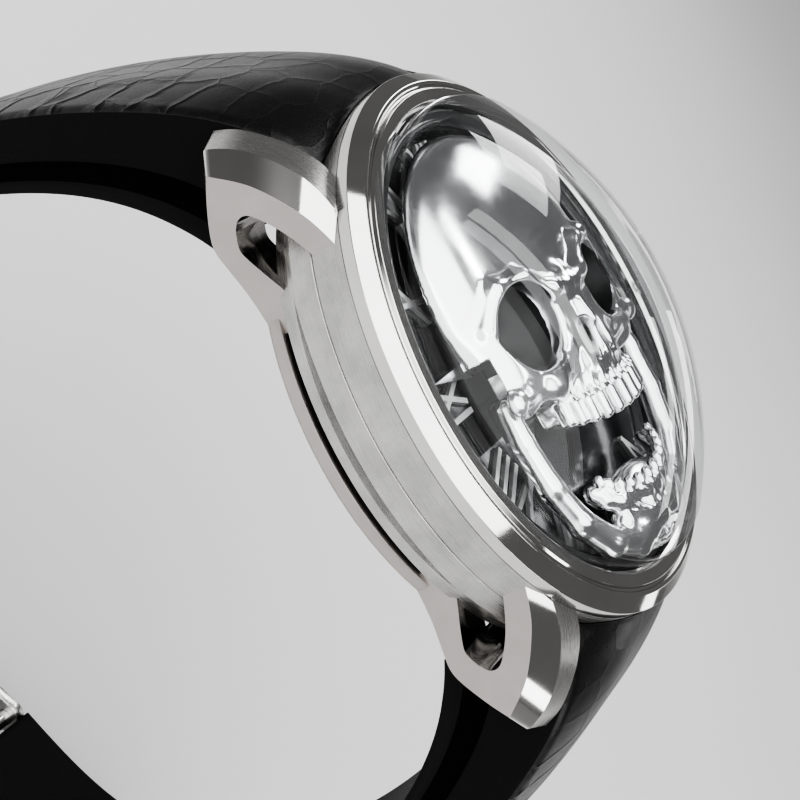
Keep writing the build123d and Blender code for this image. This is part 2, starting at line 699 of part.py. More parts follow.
def numeral(index):
    """A Roman hour numeral in raised strokes, its foot towards the centre."""
    text = NUMERALS[index]
    width = sum(LETTER_WIDTH[letter] for letter in text)
    left = -width / 2
    lines = []
    for letter in text:
        right = left + LETTER_WIDTH[letter] - 0.5
        middle = (left + right) / 2
        if letter == "I":
            lines.append(((middle, NUMERAL_IN), (middle, NUMERAL_OUT)))
        elif letter == "V":
            lines.append(((left, NUMERAL_OUT), (middle, NUMERAL_IN)))
            lines.append(((middle, NUMERAL_IN), (right, NUMERAL_OUT)))
        else:
            lines.append(((left, NUMERAL_IN), (right, NUMERAL_OUT)))
            lines.append(((left, NUMERAL_OUT), (right, NUMERAL_IN)))
        left += LETTER_WIDTH[letter]
    body = stroke(*lines[0], 0.4)
    for start, end in lines[1:]:
        body += stroke(start, end, 0.4)
    return Rot(0, 0, -30.0 * index) * body


def build_dial():
    body = disc(INNER_R - FIT, *DIAL_Z) - disc(1.6, 0, 20)
    save("dial_plate", body)
    save("hour_numerals", group(*[numeral(n) for n in range(12)]))
    save("hour_hand", hand(HOUR_BEARING, *HOUR_Z, 1.9, 1.4, 15.2, 0.85))
    save("minute_hand", hand(MINUTE_BEARING, *MINUTE_Z, 1.5, 0.92, 16.4, 0.6))


# ---- skull --------------------------------------------------------------------------------
JAW_ARM_IN, JAW_ARM_OUT = 10.2, 12.2   # distances of the jaw's arms from the middle


def ellipsoid(centre, radii):
    return Pos(*centre) * scale(Sphere(1.0), by=radii)


def teeth_row(y, z, half_width, depth, count, height):
    """Teeth along an arch that opens towards the back."""
    row = []
    for number in range(count):
        share = -1 + 2 * (number + 0.5) / count
        place = (half_width * sin(share * pi / 2), y, z - depth * (1 - cos(share * pi / 2)))
        row.append(Pos(*place) * Box(1.05, height, 1.1))
    return row


def build_skull():
    above = block((-20, -20, SKULL_Z), (20, 20, 20))
    body = ellipsoid((0, 4.6, 9.9), (12.9, 11.7, 4.7)) & above
    body += ellipsoid((0, -0.5, 9.8), (8.7, 7.7, 4.9)) & above
    body += ellipsoid((0, -4.2, 9.8), (5.7, 4.7, 4.5)) & above
    for side in (-1, 1):
        body += ellipsoid((side * 7.2, -1.8, 11.9), (3.1, 1.6, 1.7)) & above
        body -= ellipsoid((side * 6.6, 1.5, 13.6), (3.2, 2.9, 2.5))
    body -= ellipsoid((0, -2.6, 14.8), (1.3, 1.7, 2.2))
    for tooth in teeth_row(-8.2, 13.2, 4.2, 2.2, 8, 2.0):
        body += tooth
    body -= ellipsoid((0, 2.5, 9.8), (9.5, 9.5, 0.9))
    body -= disc(0.52, 9, 10.3)
    for side in (-1, 1):
        low, high = sorted((side * (JAW_ARM_IN - JAW_ROOM), side * 20.0))
        rear = JAW_REAR_Y + JAW_TRAVEL + JAW_ROOM
        body -= block((low, -20, 9), (high, rear, JAW_HIGH + JAW_ROOM))
    save("skull", body)
    save("skull_base", skull_base())
    save("jaw", jaw())


BASE_LOW, BASE_HIGH = 9.72, 9.98  # the plate under the skull, just over the hands


def skull_base():
    """The plate and post that carry the skull, with wings that the jaw's arms slide on."""
    low, high = BASE_LOW, BASE_HIGH
    base = plate([(-3, -6), (3, -6), (5, 3), (3, 6), (-3, 6), (-5, 3)], low, high)
    base += block((-JAW_ARM_OUT + 0.4, -4.6, low), (JAW_ARM_OUT - 0.4, -1.9, high))
    base += disc(0.5, PLATE_Z[0] + 0.1, SKULL_Z + 0.25)
    for side in (-1, 1):
        middle = side * (JAW_ARM_IN + JAW_ARM_OUT) / 2
        base += block((middle - 0.5, -4.6, high), (middle + 0.5, -1.9, JAW_LOW - RUN))
    return base


def jaw():
    """The lower jaw: two long arms, a chin and a row of teeth; it slides along Y."""
    outer = [(JAW_ARM_OUT, JAW_REAR_Y), (JAW_ARM_OUT, -4.5), (11.0, -9.5), (7.6, -13.6), (3.0, -16.0)]
    inner = [(2.4, -13.6), (6.4, -11.4), (9.0, -8.4), (JAW_ARM_IN, -4.5), (JAW_ARM_IN, JAW_REAR_Y)]
    left_outer = [(-x, y) for x, y in outer[::-1]]
    left_inner = [(-x, y) for x, y in inner[::-1]]
    body = plate(outer + left_outer + left_inner + inner, JAW_LOW, JAW_HIGH)
    for tooth in teeth_row(-13.0, 12.4, 3.9, 1.3, 8, 1.5):
        body += tooth
    body += ellipsoid((0, -14.6, 11.2), (4.2, 1.7, 1.4)) & block((-6, -17, JAW_LOW), (6, -10, 20))
    return body


# ---- strap and clasp ----------------------------------------------------------------------
CLASP_Y, CLASP_Z = 6.0, -25.5      # centre of the clasp's curve
CLASP_R = 40.0                    # its inner radius
FLEX_OUT = (31.5, -6.3)           # the strap bends here: a line at its outer face
FLEX_IN = (23.0, -10.2)           # the cut runs from the outer face towards this point
FLEX_GAP = 0.3
BELOW = -80.0                     # lower than anything on the strap


def loop_outline(end):
    """Outer and inner (y, z) points of one strap half, from the case to the clasp."""
    outer = [(16.0, 9.0), (20.4, 8.4), (24.4, 5.2), (28.6, -1.2), (31.6, -7.4)]
    inner = [(12.6, -1.3), (17.0, -3.2), (21.2, -6.4), (25.0, -11.2)]
    if end > 0:
        outer += [
            (35.2, -17.4), (37.1, -26.0), (37.7, -36.0), (36.8, -46.0),
            (33.6, -54.8), (30.2, -61.4), (25.0, -66.4),
        ]
        inner += [
            (29.2, -20.0), (31.6, -28.0), (32.4, -37.0), (31.6, -45.2),
            (29.2, -52.4), (26.9, -58.2), (23.7, -62.6),
        ]
    else:
        outer += [
            (35.0, -17.4), (37.0, -27.0), (37.8, -37.5), (36.2, -48.0),
            (31.8, -56.2), (24.9, -61.4), (13.1, -65.2),
        ]
        inner += [
            (29.0, -19.0), (31.8, -28.0), (32.6, -37.5), (31.2, -46.5),
            (28.0, -53.0), (22.6, -57.4), (11.9, -61.3),
        ]
    return outer, inner


def strap_slab(end):
    """One strap half without its edges' taper."""
    outer, inner = loop_outline(end)
    outer_line = Spline(*[(0, end * y, z) for y, z in outer])
    inner_line = Spline(*[(0, end * y, z) for y, z in inner])
    close_top = Line(outer_line @ 0, inner_line @ 0)
    close_end = Line(outer_line @ 1, inner_line @ 1)
    outline = make_face([outer_line, close_end, inner_line, close_top])
    return extrude(outline, STRAP_HALF, dir=(1, 0, 0), both=True)


def lining_slab(end):
    """The inner layer of one strap half, under the leather."""
    _, inner = loop_outline(end)
    inner_line = Spline(*[(0, end * y, z) for y, z in inner])
    layer = []
    for number in range(9):
        share = number / 8
        point, along = inner_line @ share, inner_line % share
        out_y, out_z = -along.Z, along.Y
        if end < 0:
            out_y, out_z = along.Z, -along.Y
        layer.append((0, point.Y + LINING * out_y, point.Z + LINING * out_z))
    outer_line = Spline(*layer)
    close_end = Line(inner_line @ 1, outer_line @ 1)
    close_top = Line(outer_line @ 0, inner_line @ 0)
    outline = make_face([inner_line, close_end, outer_line, close_top])
    return extrude(outline, STRAP_HALF, dir=(1, 0, 0), both=True)


def taper():
    """The strap's widths: full at the lugs, less at the clasp."""
    middle_half = 11.2
    corners = [
        (STRAP_HALF, 20),
        (STRAP_HALF, 0),
        (middle_half, -20),
        (STRAP_END_HALF, -50),
        (STRAP_END_HALF, BELOW),
    ]
    points = [(x, -60, z) for x, z in corners] + [(-x, -60, z) for x, z in corners[::-1]]
    return extrude(make_face(Polyline(*points, close=True)), 120, dir=(0, 1, 0))


def shell_arc(inner_r, outer_r, start, end, half_width):
    """A curved plate round the clasp's centre; angles are from straight down towards +Y."""
    body = rod_x(outer_r, -half_width, half_width, CLASP_Y, CLASP_Z)
    body -= rod_x(inner_r, -half_width - 1, half_width + 1, CLASP_Y, CLASP_Z)
    wedge = [(CLASP_Y, CLASP_Z)]
    for angle in (start, (start + end) / 2, end):
        wedge.append((CLASP_Y + 90 * sin(radians(angle)), CLASP_Z - 90 * cos(radians(angle))))
    return body & side_plate(wedge, -half_width - 1, half_width + 1)


def clasp_point(radius, angle):
    return CLASP_Y + radius * sin(radians(angle)), CLASP_Z - radius * cos(radians(angle))


def build_strap(end, name):
    slab = strap_slab(end) & taper()
    lining = lining_slab(end) & taper()
    bar = rod_x(SPRING_BAR_R + FIT, -20, 20, end * SPRING_BAR_Y, SPRING_BAR_Z)
    case_room = disc(CASE_R + 0.15, RAIL_TOP + 0.25, 20) + disc(RAIL_OUT + 0.6, -0.3, 2.3)
    near, far = flex_sides(end)
    save(f"strap_{name}_end", (slab & near) - bar - case_room)
    save(f"strap_{name}", (slab & far) - lining - clasp_room(end))
    save(f"strap_{name}_lining", (lining & far & slab) - clasp_room(end))


def flex_sides(end):
    """The room on the case's side of the bend, and the room on the clasp's side."""
    (oy, oz), (iy, iz) = FLEX_OUT, FLEX_IN
    run = sqrt((oy - iy) ** 2 + (oz - iz) ** 2)
    along = ((oy - iy) / run, (oz - iz) / run)
    across = (-along[1], along[0])
    sides = []
    for sign in (1, -1):
        base_y = oy + sign * across[0] * FLEX_GAP / 2
        base_z = oz + sign * across[1] * FLEX_GAP / 2
        first = (base_y + 30 * along[0], base_z + 30 * along[1])
        last = (base_y - 60 * along[0], base_z - 60 * along[1])
        far_first = (first[0] + sign * 90 * across[0], first[1] + sign * 90 * across[1])
        far_last = (last[0] + sign * 90 * across[0], last[1] + sign * 90 * across[1])
        corners = [(end * y, z) for y, z in (first, last, far_last, far_first)]
        sides.append(side_plate(corners, -20, 20))
    keep = block((-20, 0, BELOW), (20, 60, 20))
    if end < 0:
        keep = mirror(keep, Plane.XZ)
    return sides[0] & keep, sides[1] & keep


CLASP_BAR_R = 0.8
BAR_12, BAR_6 = 25.5, -24.5       # bearings of the bars that hold the strap's ends


def clasp_room(end):
    """Room at a strap end for its bar and for the plate's ears."""
    angle = BAR_12 if end > 0 else BAR_6
    y, z = clasp_point(CLASP_R + 1.5, angle)
    room = rod_x(CLASP_BAR_R + FIT, -20, 20, y, z)
    for side in (-1, 1):
        room += rod_x(1.75, side * 8.6 - 0.85, side * 8.6 + 0.85, y, z)
    return room


def clasp_ears(angle):
    y, z = clasp_point(CLASP_R + 1.5, angle)
    ears = None
    for side in (-1, 1):
        ear = rod_x(1.5, side * 8.6 - 0.6, side * 8.6 + 0.6, y, z)
        ears = ear if ears is None else ears + ear
    return ears, rod_x(CLASP_BAR_R + FIT, -20, 20, y, z)


HINGE_6 = -19.0


def build_clasp():
    half = 9.2
    ears_6, bore_6 = clasp_ears(BAR_6)
    base = shell_arc(CLASP_R, CLASP_R + 1.0, -20.5, 17.0, half)
    for side in (-1, 1):
        base += shell_arc(CLASP_R, CLASP_R + 2.2, BAR_6, -19.5, half) & block(
            (side * 8.6 - 0.6, -60, BELOW), (side * 8.6 + 0.6, 60, 0)
        )
    hy, hz = clasp_point(CLASP_R + 2.9, HINGE_6)
    knuckles = rod_x(0.95, -8.0, -4.2, hy, hz) + rod_x(0.95, 4.2, 8.0, hy, hz)
    posts = shell_arc(CLASP_R + 0.9, CLASP_R + 2.9, HINGE_6 - 0.9, HINGE_6 + 0.9, 8.0)
    base += knuckles + (posts - block((-4.2, -60, BELOW), (4.2, 60, 0)))
    base = base + ears_6 - bore_6 - rod_x(0.45 + FIT, -9, 9, hy, hz)
    save("clasp_base", base)
    bar = rod_x(CLASP_BAR_R, -9.1, 9.1, *clasp_point(CLASP_R + 1.5, BAR_6))
    save("clasp_pins", group(bar, rod_x(0.45, -7.9, 7.9, hy, hz)))

    ears_12, bore_12 = clasp_ears(BAR_12)
    tongue = shell_arc(CLASP_R + 1.1, CLASP_R + 2.1, -8.0, 22.0, 7.6)
    for side in (-1, 1):
        tongue += shell_arc(CLASP_R + 0.9, CLASP_R + 2.1, 20.5, BAR_12, half) & block(
            (side * 8.6 - 0.6, -60, BELOW), (side * 8.6 + 0.6, 60, 0)
        )
    tongue += shell_arc(CLASP_R + 1.1, CLASP_R + 2.1, 19.5, 22.0, half)
    tongue -= shell_arc(CLASP_R, CLASP_R + 5, -2.0, 8.0, 2.2)
    save("clasp_tongue", tongue + ears_12 - bore_12)
    save("clasp_bar", rod_x(CLASP_BAR_R, -9.1, 9.1, *clasp_point(CLASP_R + 1.5, BAR_12)))

    cover = shell_arc(CLASP_R + 2.3, CLASP_R + 3.3, -17.0, 15.5, half)
    cover += shell_arc(CLASP_R + 2.3, CLASP_R + 3.2, HINGE_6, -16.5, 3.9)
    cover += rod_x(0.95, -3.9, 3.9, hy, hz)
    cover -= rod_x(0.45 + RUN, -9, 9, hy, hz)
    for side in (-1, 1):
        wall = shell_arc(CLASP_R + 1.15, CLASP_R + 2.4, -14.0, 15.5, half)
        low, high = sorted((side * 8.0, side * half))
        cover += wall & block((low, -60, BELOW), (high, 60, 0))
    button_y, button_z = clasp_point(CLASP_R + 1.85, 6.0)
    cover -= rod_x(0.55 + RUN, -12, 12, button_y, button_z)
    save("clasp_cover", cover)
    for side, name in ((-1, "left"), (1, "right")):
        low, high = sorted((side * 8.45, side * 9.9))
        save(f"clasp_button_{name}", rod_x(0.55, low, high, button_y, button_z))


def main():
    build_case()
    build_back()
    build_crown()
    build_winding()
    build_plates()
    build_train()
    build_rotor()
    build_motion()
    build_dial()
    build_skull()
    build_strap(1, "12")
    build_strap(-1, "6")
    half = SPRING_BAR_HALF
    bars = [rod_x(SPRING_BAR_R, -half, half, e * SPRING_BAR_Y, SPRING_BAR_Z) for e in (1, -1)]
    save("spring_bars", group(*bars))
    build_clasp()
    os.makedirs("parts", exist_ok=True)
    for name, shape in PARTS.items():
        export_step(shape, f"parts/{name}.step")
    print(len(PARTS), "nodes")


main()
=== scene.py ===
"""Looks of the skeleton wristwatch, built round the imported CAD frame.

Shapes are written in millimetres in the frame's own axes and scaled to metres when a mesh is made:
+Z out of the dial, +Y to 12 o'clock, +X to 3 o'clock. The photograph looks from the 9 o'clock side.
"""

from math import asin, cos, pi, radians, sin, sqrt

import bmesh
import bpy
import numpy as np
from mathutils import Matrix, Vector


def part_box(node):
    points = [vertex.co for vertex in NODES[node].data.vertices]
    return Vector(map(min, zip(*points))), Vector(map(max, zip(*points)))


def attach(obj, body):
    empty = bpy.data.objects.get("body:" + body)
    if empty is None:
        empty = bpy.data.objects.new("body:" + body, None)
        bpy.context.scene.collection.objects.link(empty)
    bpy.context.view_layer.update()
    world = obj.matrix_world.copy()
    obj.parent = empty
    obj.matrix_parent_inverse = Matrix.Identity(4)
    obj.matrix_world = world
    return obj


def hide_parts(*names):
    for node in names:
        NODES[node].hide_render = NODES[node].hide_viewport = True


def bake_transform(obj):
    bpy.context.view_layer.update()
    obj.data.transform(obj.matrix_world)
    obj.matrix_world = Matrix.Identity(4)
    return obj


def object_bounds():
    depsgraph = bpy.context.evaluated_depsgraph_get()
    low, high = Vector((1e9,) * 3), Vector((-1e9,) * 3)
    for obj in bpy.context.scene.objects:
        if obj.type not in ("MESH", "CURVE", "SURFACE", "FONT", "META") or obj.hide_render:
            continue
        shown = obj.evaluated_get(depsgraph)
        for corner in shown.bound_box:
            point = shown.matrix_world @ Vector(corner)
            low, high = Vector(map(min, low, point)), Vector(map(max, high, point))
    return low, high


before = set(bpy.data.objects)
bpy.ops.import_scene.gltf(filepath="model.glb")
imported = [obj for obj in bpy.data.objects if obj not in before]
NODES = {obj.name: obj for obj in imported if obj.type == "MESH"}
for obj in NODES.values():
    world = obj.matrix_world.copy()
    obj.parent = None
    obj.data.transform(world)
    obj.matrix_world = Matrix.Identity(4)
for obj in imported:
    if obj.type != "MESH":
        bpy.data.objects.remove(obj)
CAD_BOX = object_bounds()
MM = 0.001


def low(node):
    """Lowest corner of a CAD node, in millimetres."""
    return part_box(node)[0] / MM


def high(node):
    """Highest corner of a CAD node, in millimetres."""
    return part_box(node)[1] / MM


# ---- driving sizes, from the frame where it has them -----------------------------------------
CASE_R = high("case_middle").x
BAND_TOP = high("case_middle").z
BEZEL_TOP = high("bezel").z
CRYSTAL_R = high("crystal").x
CRYSTAL_TOP = high("crystal").z
STRAP_HALF = high("strap_12_end").x
FLOOR_Z = CAD_BOX[0].z / MM


# ---- materials --------------------------------------------------------------------------------
class Shader:
    """A node material under construction."""

    def __init__(self, name):
        self.material = bpy.data.materials.new(name)
        self.material.use_nodes = True
        self.tree = self.material.node_tree
        self.tree.nodes.clear()
        self.output = self.tree.nodes.new("ShaderNodeOutputMaterial")

    def add(self, kind, settings=None, **sockets):
        """Adds a node. Socket names have _ for a space; a value is a number, a tuple or a socket."""
        node = self.tree.nodes.new("ShaderNode" + kind)
        for key, value in (settings or {}).items():
            setattr(node, key, value)
        for key, value in sockets.items():
            index = int(key[1:]) if key[0] == "i" and key[1:].isdigit() else key.replace("_", " ")
            socket = node.inputs[index]
            if isinstance(value, bpy.types.NodeSocket):
                self.tree.links.new(value, socket)
            else:
                socket.default_value = value
        return node

    def maths(self, operation, first, second=0.0, clamp=False):
        settings = {"operation": operation, "use_clamp": clamp}
        return self.add("Math", settings, i0=first, i1=second).outputs[0]

    def place(self):
        return self.add("TexCoord").outputs["Object"]

    def stretched(self, x, y, z):
        """Object coordinates, scaled so that one unit is that many millimetres on each axis."""
        scale = (1 / (x * MM), 1 / (y * MM), 1 / (z * MM))
        return self.add("Mapping", Vector=self.place(), Scale=scale).outputs[0]

    def around(self, arc, radial, height):
        """Coordinates that run round the Z axis: distance along the arc, radius and height."""
        parts = self.add("SeparateXYZ", Vector=self.place())
        angle = self.maths("ARCTAN2", parts.outputs[1], parts.outputs[0])
        squares = self.maths(
            "ADD",
            self.maths("POWER", parts.outputs[0], 2.0),
            self.maths("POWER", parts.outputs[1], 2.0),
        )
        radius = self.maths("SQRT", squares)
        joined = self.add(
            "CombineXYZ",
            X=self.maths("MULTIPLY", angle, CASE_R / arc),
            Y=self.maths("MULTIPLY", radius, 1 / (radial * MM)),
            Z=self.maths("MULTIPLY", parts.outputs[2], 1 / (height * MM)),
        )
        return joined.outputs[0]

    def noise(self, vector, scale=1.0, detail=3.0, roughness=0.55):
        found = self.add(
            "TexNoise", Vector=vector, Scale=scale, Detail=detail, Roughness=roughness
        )
        return found.outputs[0]

    def spread(self, value, low_value, high_value, from_low=0.3, from_high=0.7):
        """Maps a value to a range."""
        found = self.add(
            "MapRange",
            {"clamp": True},
            Value=value,
            From_Min=from_low,
            From_Max=from_high,
            To_Min=low_value,
            To_Max=high_value,
        )
        return found.outputs[0]

    def tint(self, value, dark, light):
        mixed = self.add("Mix", {"data_type": "RGBA"}, i0=value, i6=(*dark, 1), i7=(*light, 1))
        return mixed.outputs[2]

    def bump(self, height, distance, strength=1.0):
        """distance is in millimetres."""
        found = self.add("Bump", Height=height, Distance=distance * MM, Strength=strength)
        return found.outputs[0]

    def surface(self, **sockets):
        shader = self.add("BsdfPrincipled", **sockets)
        self.tree.links.new(shader.outputs[0], self.output.inputs[0])
        return shader

    def show(self, socket):
        self.tree.links.new(socket, self.output.inputs[0])


def brushed(name, light, dark, rough, grain, depth=0.004, anisotropy=0.5):
    """Metal with fine parallel scratches. grain is a function that gives the scratch coordinates."""
    s = Shader(name)
    lines = s.noise(grain(s), detail=4.0, roughness=0.7)
    cloud = s.noise(s.stretched(3, 3, 3))
    rough_map = s.spread(lines, rough * 0.75, rough * 1.3)
    s.surface(
        Base_Color=s.tint(s.spread(s.maths("ADD", lines, cloud), 0, 1, 0.6, 1.4), dark, light),
        Metallic=1.0,
        Roughness=rough_map,
        Normal=s.bump(lines, depth),
        Anisotropic=anisotropy,
    )
    return s.material


def polished(name, light, dark, rough=0.06, swirl=0.0006):
    """Mirror metal with faint hairlines and handling marks."""
    s = Shader(name)
    marks = s.noise(s.stretched(0.9, 0.05, 0.4), detail=2.0)
    cloud = s.noise(s.stretched(6, 6, 6))
    s.surface(
        Base_Color=s.tint(cloud, dark, light),
        Metallic=1.0,
        Roughness=s.spread(cloud, rough * 0.6, rough * 1.5),
        Normal=s.bump(marks, swirl),
    )
    return s.material


def blasted(name, light, dark, rough=0.38):
    """Fine matt metal, as left by glass beads."""
    s = Shader(name)
    grains = s.noise(s.stretched(0.06, 0.06, 0.06), detail=2.0)
    cloud = s.noise(s.stretched(2.5, 2.5, 2.5))
    s.surface(
        Base_Color=s.tint(cloud, dark, light),
        Metallic=1.0,
        Roughness=s.spread(grains, rough * 0.85, rough * 1.2),
        Normal=s.bump(grains, 0.006),
    )
    return s.material


def clear_glass(name, head_on=0.018, tint=(0.985, 0.99, 0.995)):
    """Clear crystal: what is behind it shows, and its skin mirrors more at a glancing angle."""
    s = Shader(name)
    facing = s.add("LayerWeight", Blend=0.5).outputs["Facing"]
    edge = s.maths("POWER", facing, 5.0)
    share = s.maths("ADD", s.maths("MULTIPLY", edge, 1 - head_on), head_on, clamp=True)
    smears = s.noise(s.stretched(5, 5, 5), detail=4.0)
    mirror = s.add(
        "BsdfAnisotropic", Color=(1, 1, 1, 1), Roughness=s.spread(smears, 0.0, 0.03)
    )
    through = s.add("BsdfTransparent", Color=(*tint, 1))
    mixed = s.add("MixShader", i0=share, i1=through.outputs[0], i2=mirror.outputs[0])
    s.show(mixed.outputs[0])
    return s.material


def plastic(name, light, dark, rough=0.45):
    s = Shader(name)
    grains = s.noise(s.stretched(0.15, 0.15, 0.15))
    s.surface(
        Base_Color=s.tint(grains, dark, light),
        Roughness=s.spread(grains, rough * 0.8, rough * 1.2),
        Normal=s.bump(grains, 0.01),
    )
    return s.material


def gem(name, colour, deep):
    s = Shader(name)
    cloud = s.noise(s.stretched(0.4, 0.4, 0.4))
    s.surface(
        Base_Color=s.tint(cloud, deep, colour),
        Roughness=0.08,
        Coat_Weight=1.0,
        # painted glow: the stone gives off a faint light in its own colour, though it is no lamp
        Emission_Color=(*colour, 1),
        Emission_Strength=0.05,
    )
    return s.material


def striped(name, light, dark, pitch=1.1, rough=0.2):
    """Rhodium plate with broad shallow stripes ground across it."""
    s = Shader(name)
    along = s.add("SeparateXYZ", Vector=s.place()).outputs[0]
    phase = s.maths("FRACT", s.maths("MULTIPLY", along, 1 / (pitch * MM)))
    lines = s.noise(s.stretched(0.03, 1.5, 0.5))
    shade = s.maths("ADD", s.maths("MULTIPLY", phase, 0.7), s.maths("MULTIPLY", lines, 0.3))
    s.surface(
        Base_Color=s.tint(shade, dark, light),
        Metallic=1.0,
        Roughness=s.spread(lines, rough * 0.8, rough * 1.4),
        Normal=s.bump(phase, 0.03, 0.6),
    )
    return s.material


def dial_black(name):
    s = Shader(name)
    rings = s.noise(s.around(3.0, 0.05, 1.0))
    s.surface(
        Base_Color=s.tint(rings, (0.003, 0.003, 0.0035), (0.012, 0.012, 0.013)),
        Roughness=s.spread(rings, 0.12, 0.22),
        Coat_Weight=0.6,
        Normal=s.bump(rings, 0.002),
    )
    return s.material


def ring_grain(s):
    return s.around(4.0, 0.035, 0.035)


def cross_grain(s):
    return s.stretched(3.0, 0.03, 0.03)


STEEL, STEEL_DARK = (0.80, 0.79, 0.775), (0.60, 0.59, 0.58)
BAND_STEEL, BAND_STEEL_DARK = (0.66, 0.65, 0.64), (0.36, 0.36, 0.35)
SILVER, SILVER_DARK = (0.90, 0.90, 0.90), (0.80, 0.80, 0.80)
GILT, GILT_DARK = (0.86, 0.62, 0.30), (0.66, 0.44, 0.17)

FINISH = {
    "brushed_steel": brushed("steel_brushed_round", BAND_STEEL, BAND_STEEL_DARK, 0.27, ring_grain),
    "polished_steel": polished("steel_polished", STEEL, STEEL_DARK),
    "screw_steel": brushed("steel_screws", STEEL, STEEL_DARK, 0.22, cross_grain),
    "crystal_clear": clear_glass("crystal_glass"),
    "gasket_black": plastic("gasket_rubber", (0.02, 0.02, 0.02), (0.008, 0.008, 0.008), 0.6),
    "dial_black": dial_black("dial_lacquer"),
    "marker_silver": blasted("marker_metal", (0.95, 0.95, 0.94), (0.85, 0.85, 0.84), 0.42),
    "hand_silver": blasted("hand_metal", SILVER, SILVER_DARK, 0.3),
    "skull_silver": polished("skull_mirror", SILVER, SILVER_DARK, 0.17),
    # the skull_mount material is also laid as painted shade in the skull's eye sockets and nose
    "skull_mount": blasted("skull_mount_metal_and_painted_shade", (0.03, 0.03, 0.03), (0.01, 0.01, 0.01), 0.45),
    "plate_rhodium": striped("plate_stripes", (0.72, 0.72, 0.74), (0.55, 0.55, 0.57)),
    "gear_gilt": brushed("gear_gilt_grain", GILT, GILT_DARK, 0.22, ring_grain),
    "gear_steel": polished("gear_steel_bright", STEEL, STEEL_DARK, 0.12),
    "spring_blue": polished("spring_blued", (0.03, 0.06, 0.30), (0.02, 0.03, 0.14), 0.15),
    "ruby": gem("ruby_synthetic", (0.75, 0.03, 0.10), (0.35, 0.0, 0.03)),
    "rotor_metal": brushed("rotor_grain", (0.55, 0.54, 0.53), (0.30, 0.30, 0.30), 0.26, ring_grain),
    "strap_leather": plastic("leather_plain", (0.02, 0.02, 0.02), (0.008, 0.008, 0.008), 0.4),
    "lining_leather": plastic("lining_plain", (0.025, 0.025, 0.025), (0.012, 0.012, 0.012), 0.6),
}

ROUNDED = ("crown", "clasp_base", "clasp_cover", "clasp_tongue")
EDGE = 0.06        # width of the slim bevel on steel edges


def finish_nodes():
    """Gives each CAD node its material, and slim bevels to those in ROUNDED."""
    for node, piece in NODES.items():
        for place in piece.material_slots:
            place.material = FINISH[place.material.name.split(".")[0]]
        if node in ROUNDED:
            piece.modifiers.new("weld", "WELD").merge_threshold = 1e-6
            edges = piece.modifiers.new("edges", "BEVEL")
            edges.width = EDGE * MM
            edges.segments = 2
            edges.limit_method = "ANGLE"
            edges.angle_limit = radians(35)
            edges.harden_normals = True


finish_nodes()


# ---- sculpting --------------------------------------------------------------------------------
class Clay:
    """Shapes joined and cut on a grid of distances, in millimetres, then skinned as a mesh."""

    def __init__(self, lowest, highest, step):
        self.step = step
        self.axes = [np.arange(a, b + step, step) for a, b in zip(lowest, highest)]
        self.field = np.full([len(axis) for axis in self.axes], 4.0)

    def near(self, centre, reach):
        """The slices of the grid within reach of a place, and their offsets from that place."""
        cuts, offsets = [], []
        for number, axis in enumerate(self.axes):
            first, last = np.searchsorted(axis, (centre[number] - reach, centre[number] + reach))
            shape = [1, 1, 1]
            shape[number] = -1
            cuts.append(slice(first, last))
            offsets.append((axis[first:last] - centre[number]).reshape(shape))
        return tuple(cuts), offsets

    def add(self, shape, join=0.0):
        """Joins a shape on, with a fillet about as wide as join."""
        centre, reach, distance = shape
        cuts, offsets = self.near(centre, reach + join + 4 * self.step)
        self.field[cuts] = softer_low(self.field[cuts], distance(*offsets), join)

    def cut(self, shape, join=0.0):
        """Takes a shape away, with a fillet about as wide as join."""
        centre, reach, distance = shape
        cuts, offsets = self.near(centre, reach + join + 4 * self.step)
        self.field[cuts] = -softer_low(-self.field[cuts], distance(*offsets), join)

    def chain(self, places, side, start_r, end_r, join):
        """Adds a rod from each place to the next, on one side of the YZ plane."""
        for start, end in zip(places, places[1:]):
            first = (side * start[0], *start[1:])
            second = (side * end[0], *end[1:])
            self.add(limb(first, second, start_r, end_r), join)

    def trim(self, floor):
        """Takes away all that is below a height."""
        self.field = np.maximum(self.field, floor - self.axes[2])

    def skin(self, name, finish):
        """Meshes the surface: one point in each cell that it crosses, one face on each edge."""
        cells = np.array(self.field.shape) - 1
        total = np.zeros((cells.prod(), 3))
        count = np.zeros(cells.prod())
        crossings = []
        for axis in range(3):
            lower = np.take(self.field, range(cells[axis]), axis)
            upper = np.take(self.field, range(1, cells[axis] + 1), axis)
            found = np.argwhere((lower < 0) != (upper < 0))
            before, after = lower[tuple(found.T)], upper[tuple(found.T)]
            points = found.astype(float)
            points[:, axis] += before / (before - after)
            sides = [other for other in range(3) if other != axis]
            inner = np.all((found[:, sides] > 0) & (found[:, sides] < cells[sides]), axis=1)
            found, points, before = found[inner], points[inner], before[inner]
            around = []
            for first, second in ((0, 0), (1, 0), (1, 1), (0, 1)):
                cell = found.copy()
                cell[:, sides[0]] -= first
                cell[:, sides[1]] -= second
                flat = np.ravel_multi_index(tuple(cell.T), tuple(cells))
                around.append(flat)
                count += np.bincount(flat, minlength=len(count))
                for number in range(3):
                    total[:, number] += np.bincount(flat, points[:, number], len(count))
            quads = np.stack(around, axis=1)
            turned = (before < 0) != (axis == 1)
            quads[turned] = quads[turned][:, ::-1]
            crossings.append(quads)
        used = np.flatnonzero(count)
        number_of = np.zeros(len(count), dtype=int)
        number_of[used] = np.arange(len(used))
        corner = np.array([axis[0] for axis in self.axes])
        points = corner + self.step * total[used] / count[used][:, None]
        return make_mesh(name, points, number_of[np.concatenate(crossings)], finish)


def softer_low(first, second, join):
    """The lower of two distances, rounded where they are nearly equal."""
    if join <= 0:
        return np.minimum(first, second)
    overlap = np.maximum(join - np.abs(first - second), 0) / join
    return np.minimum(first, second) - overlap**2 * join / 4


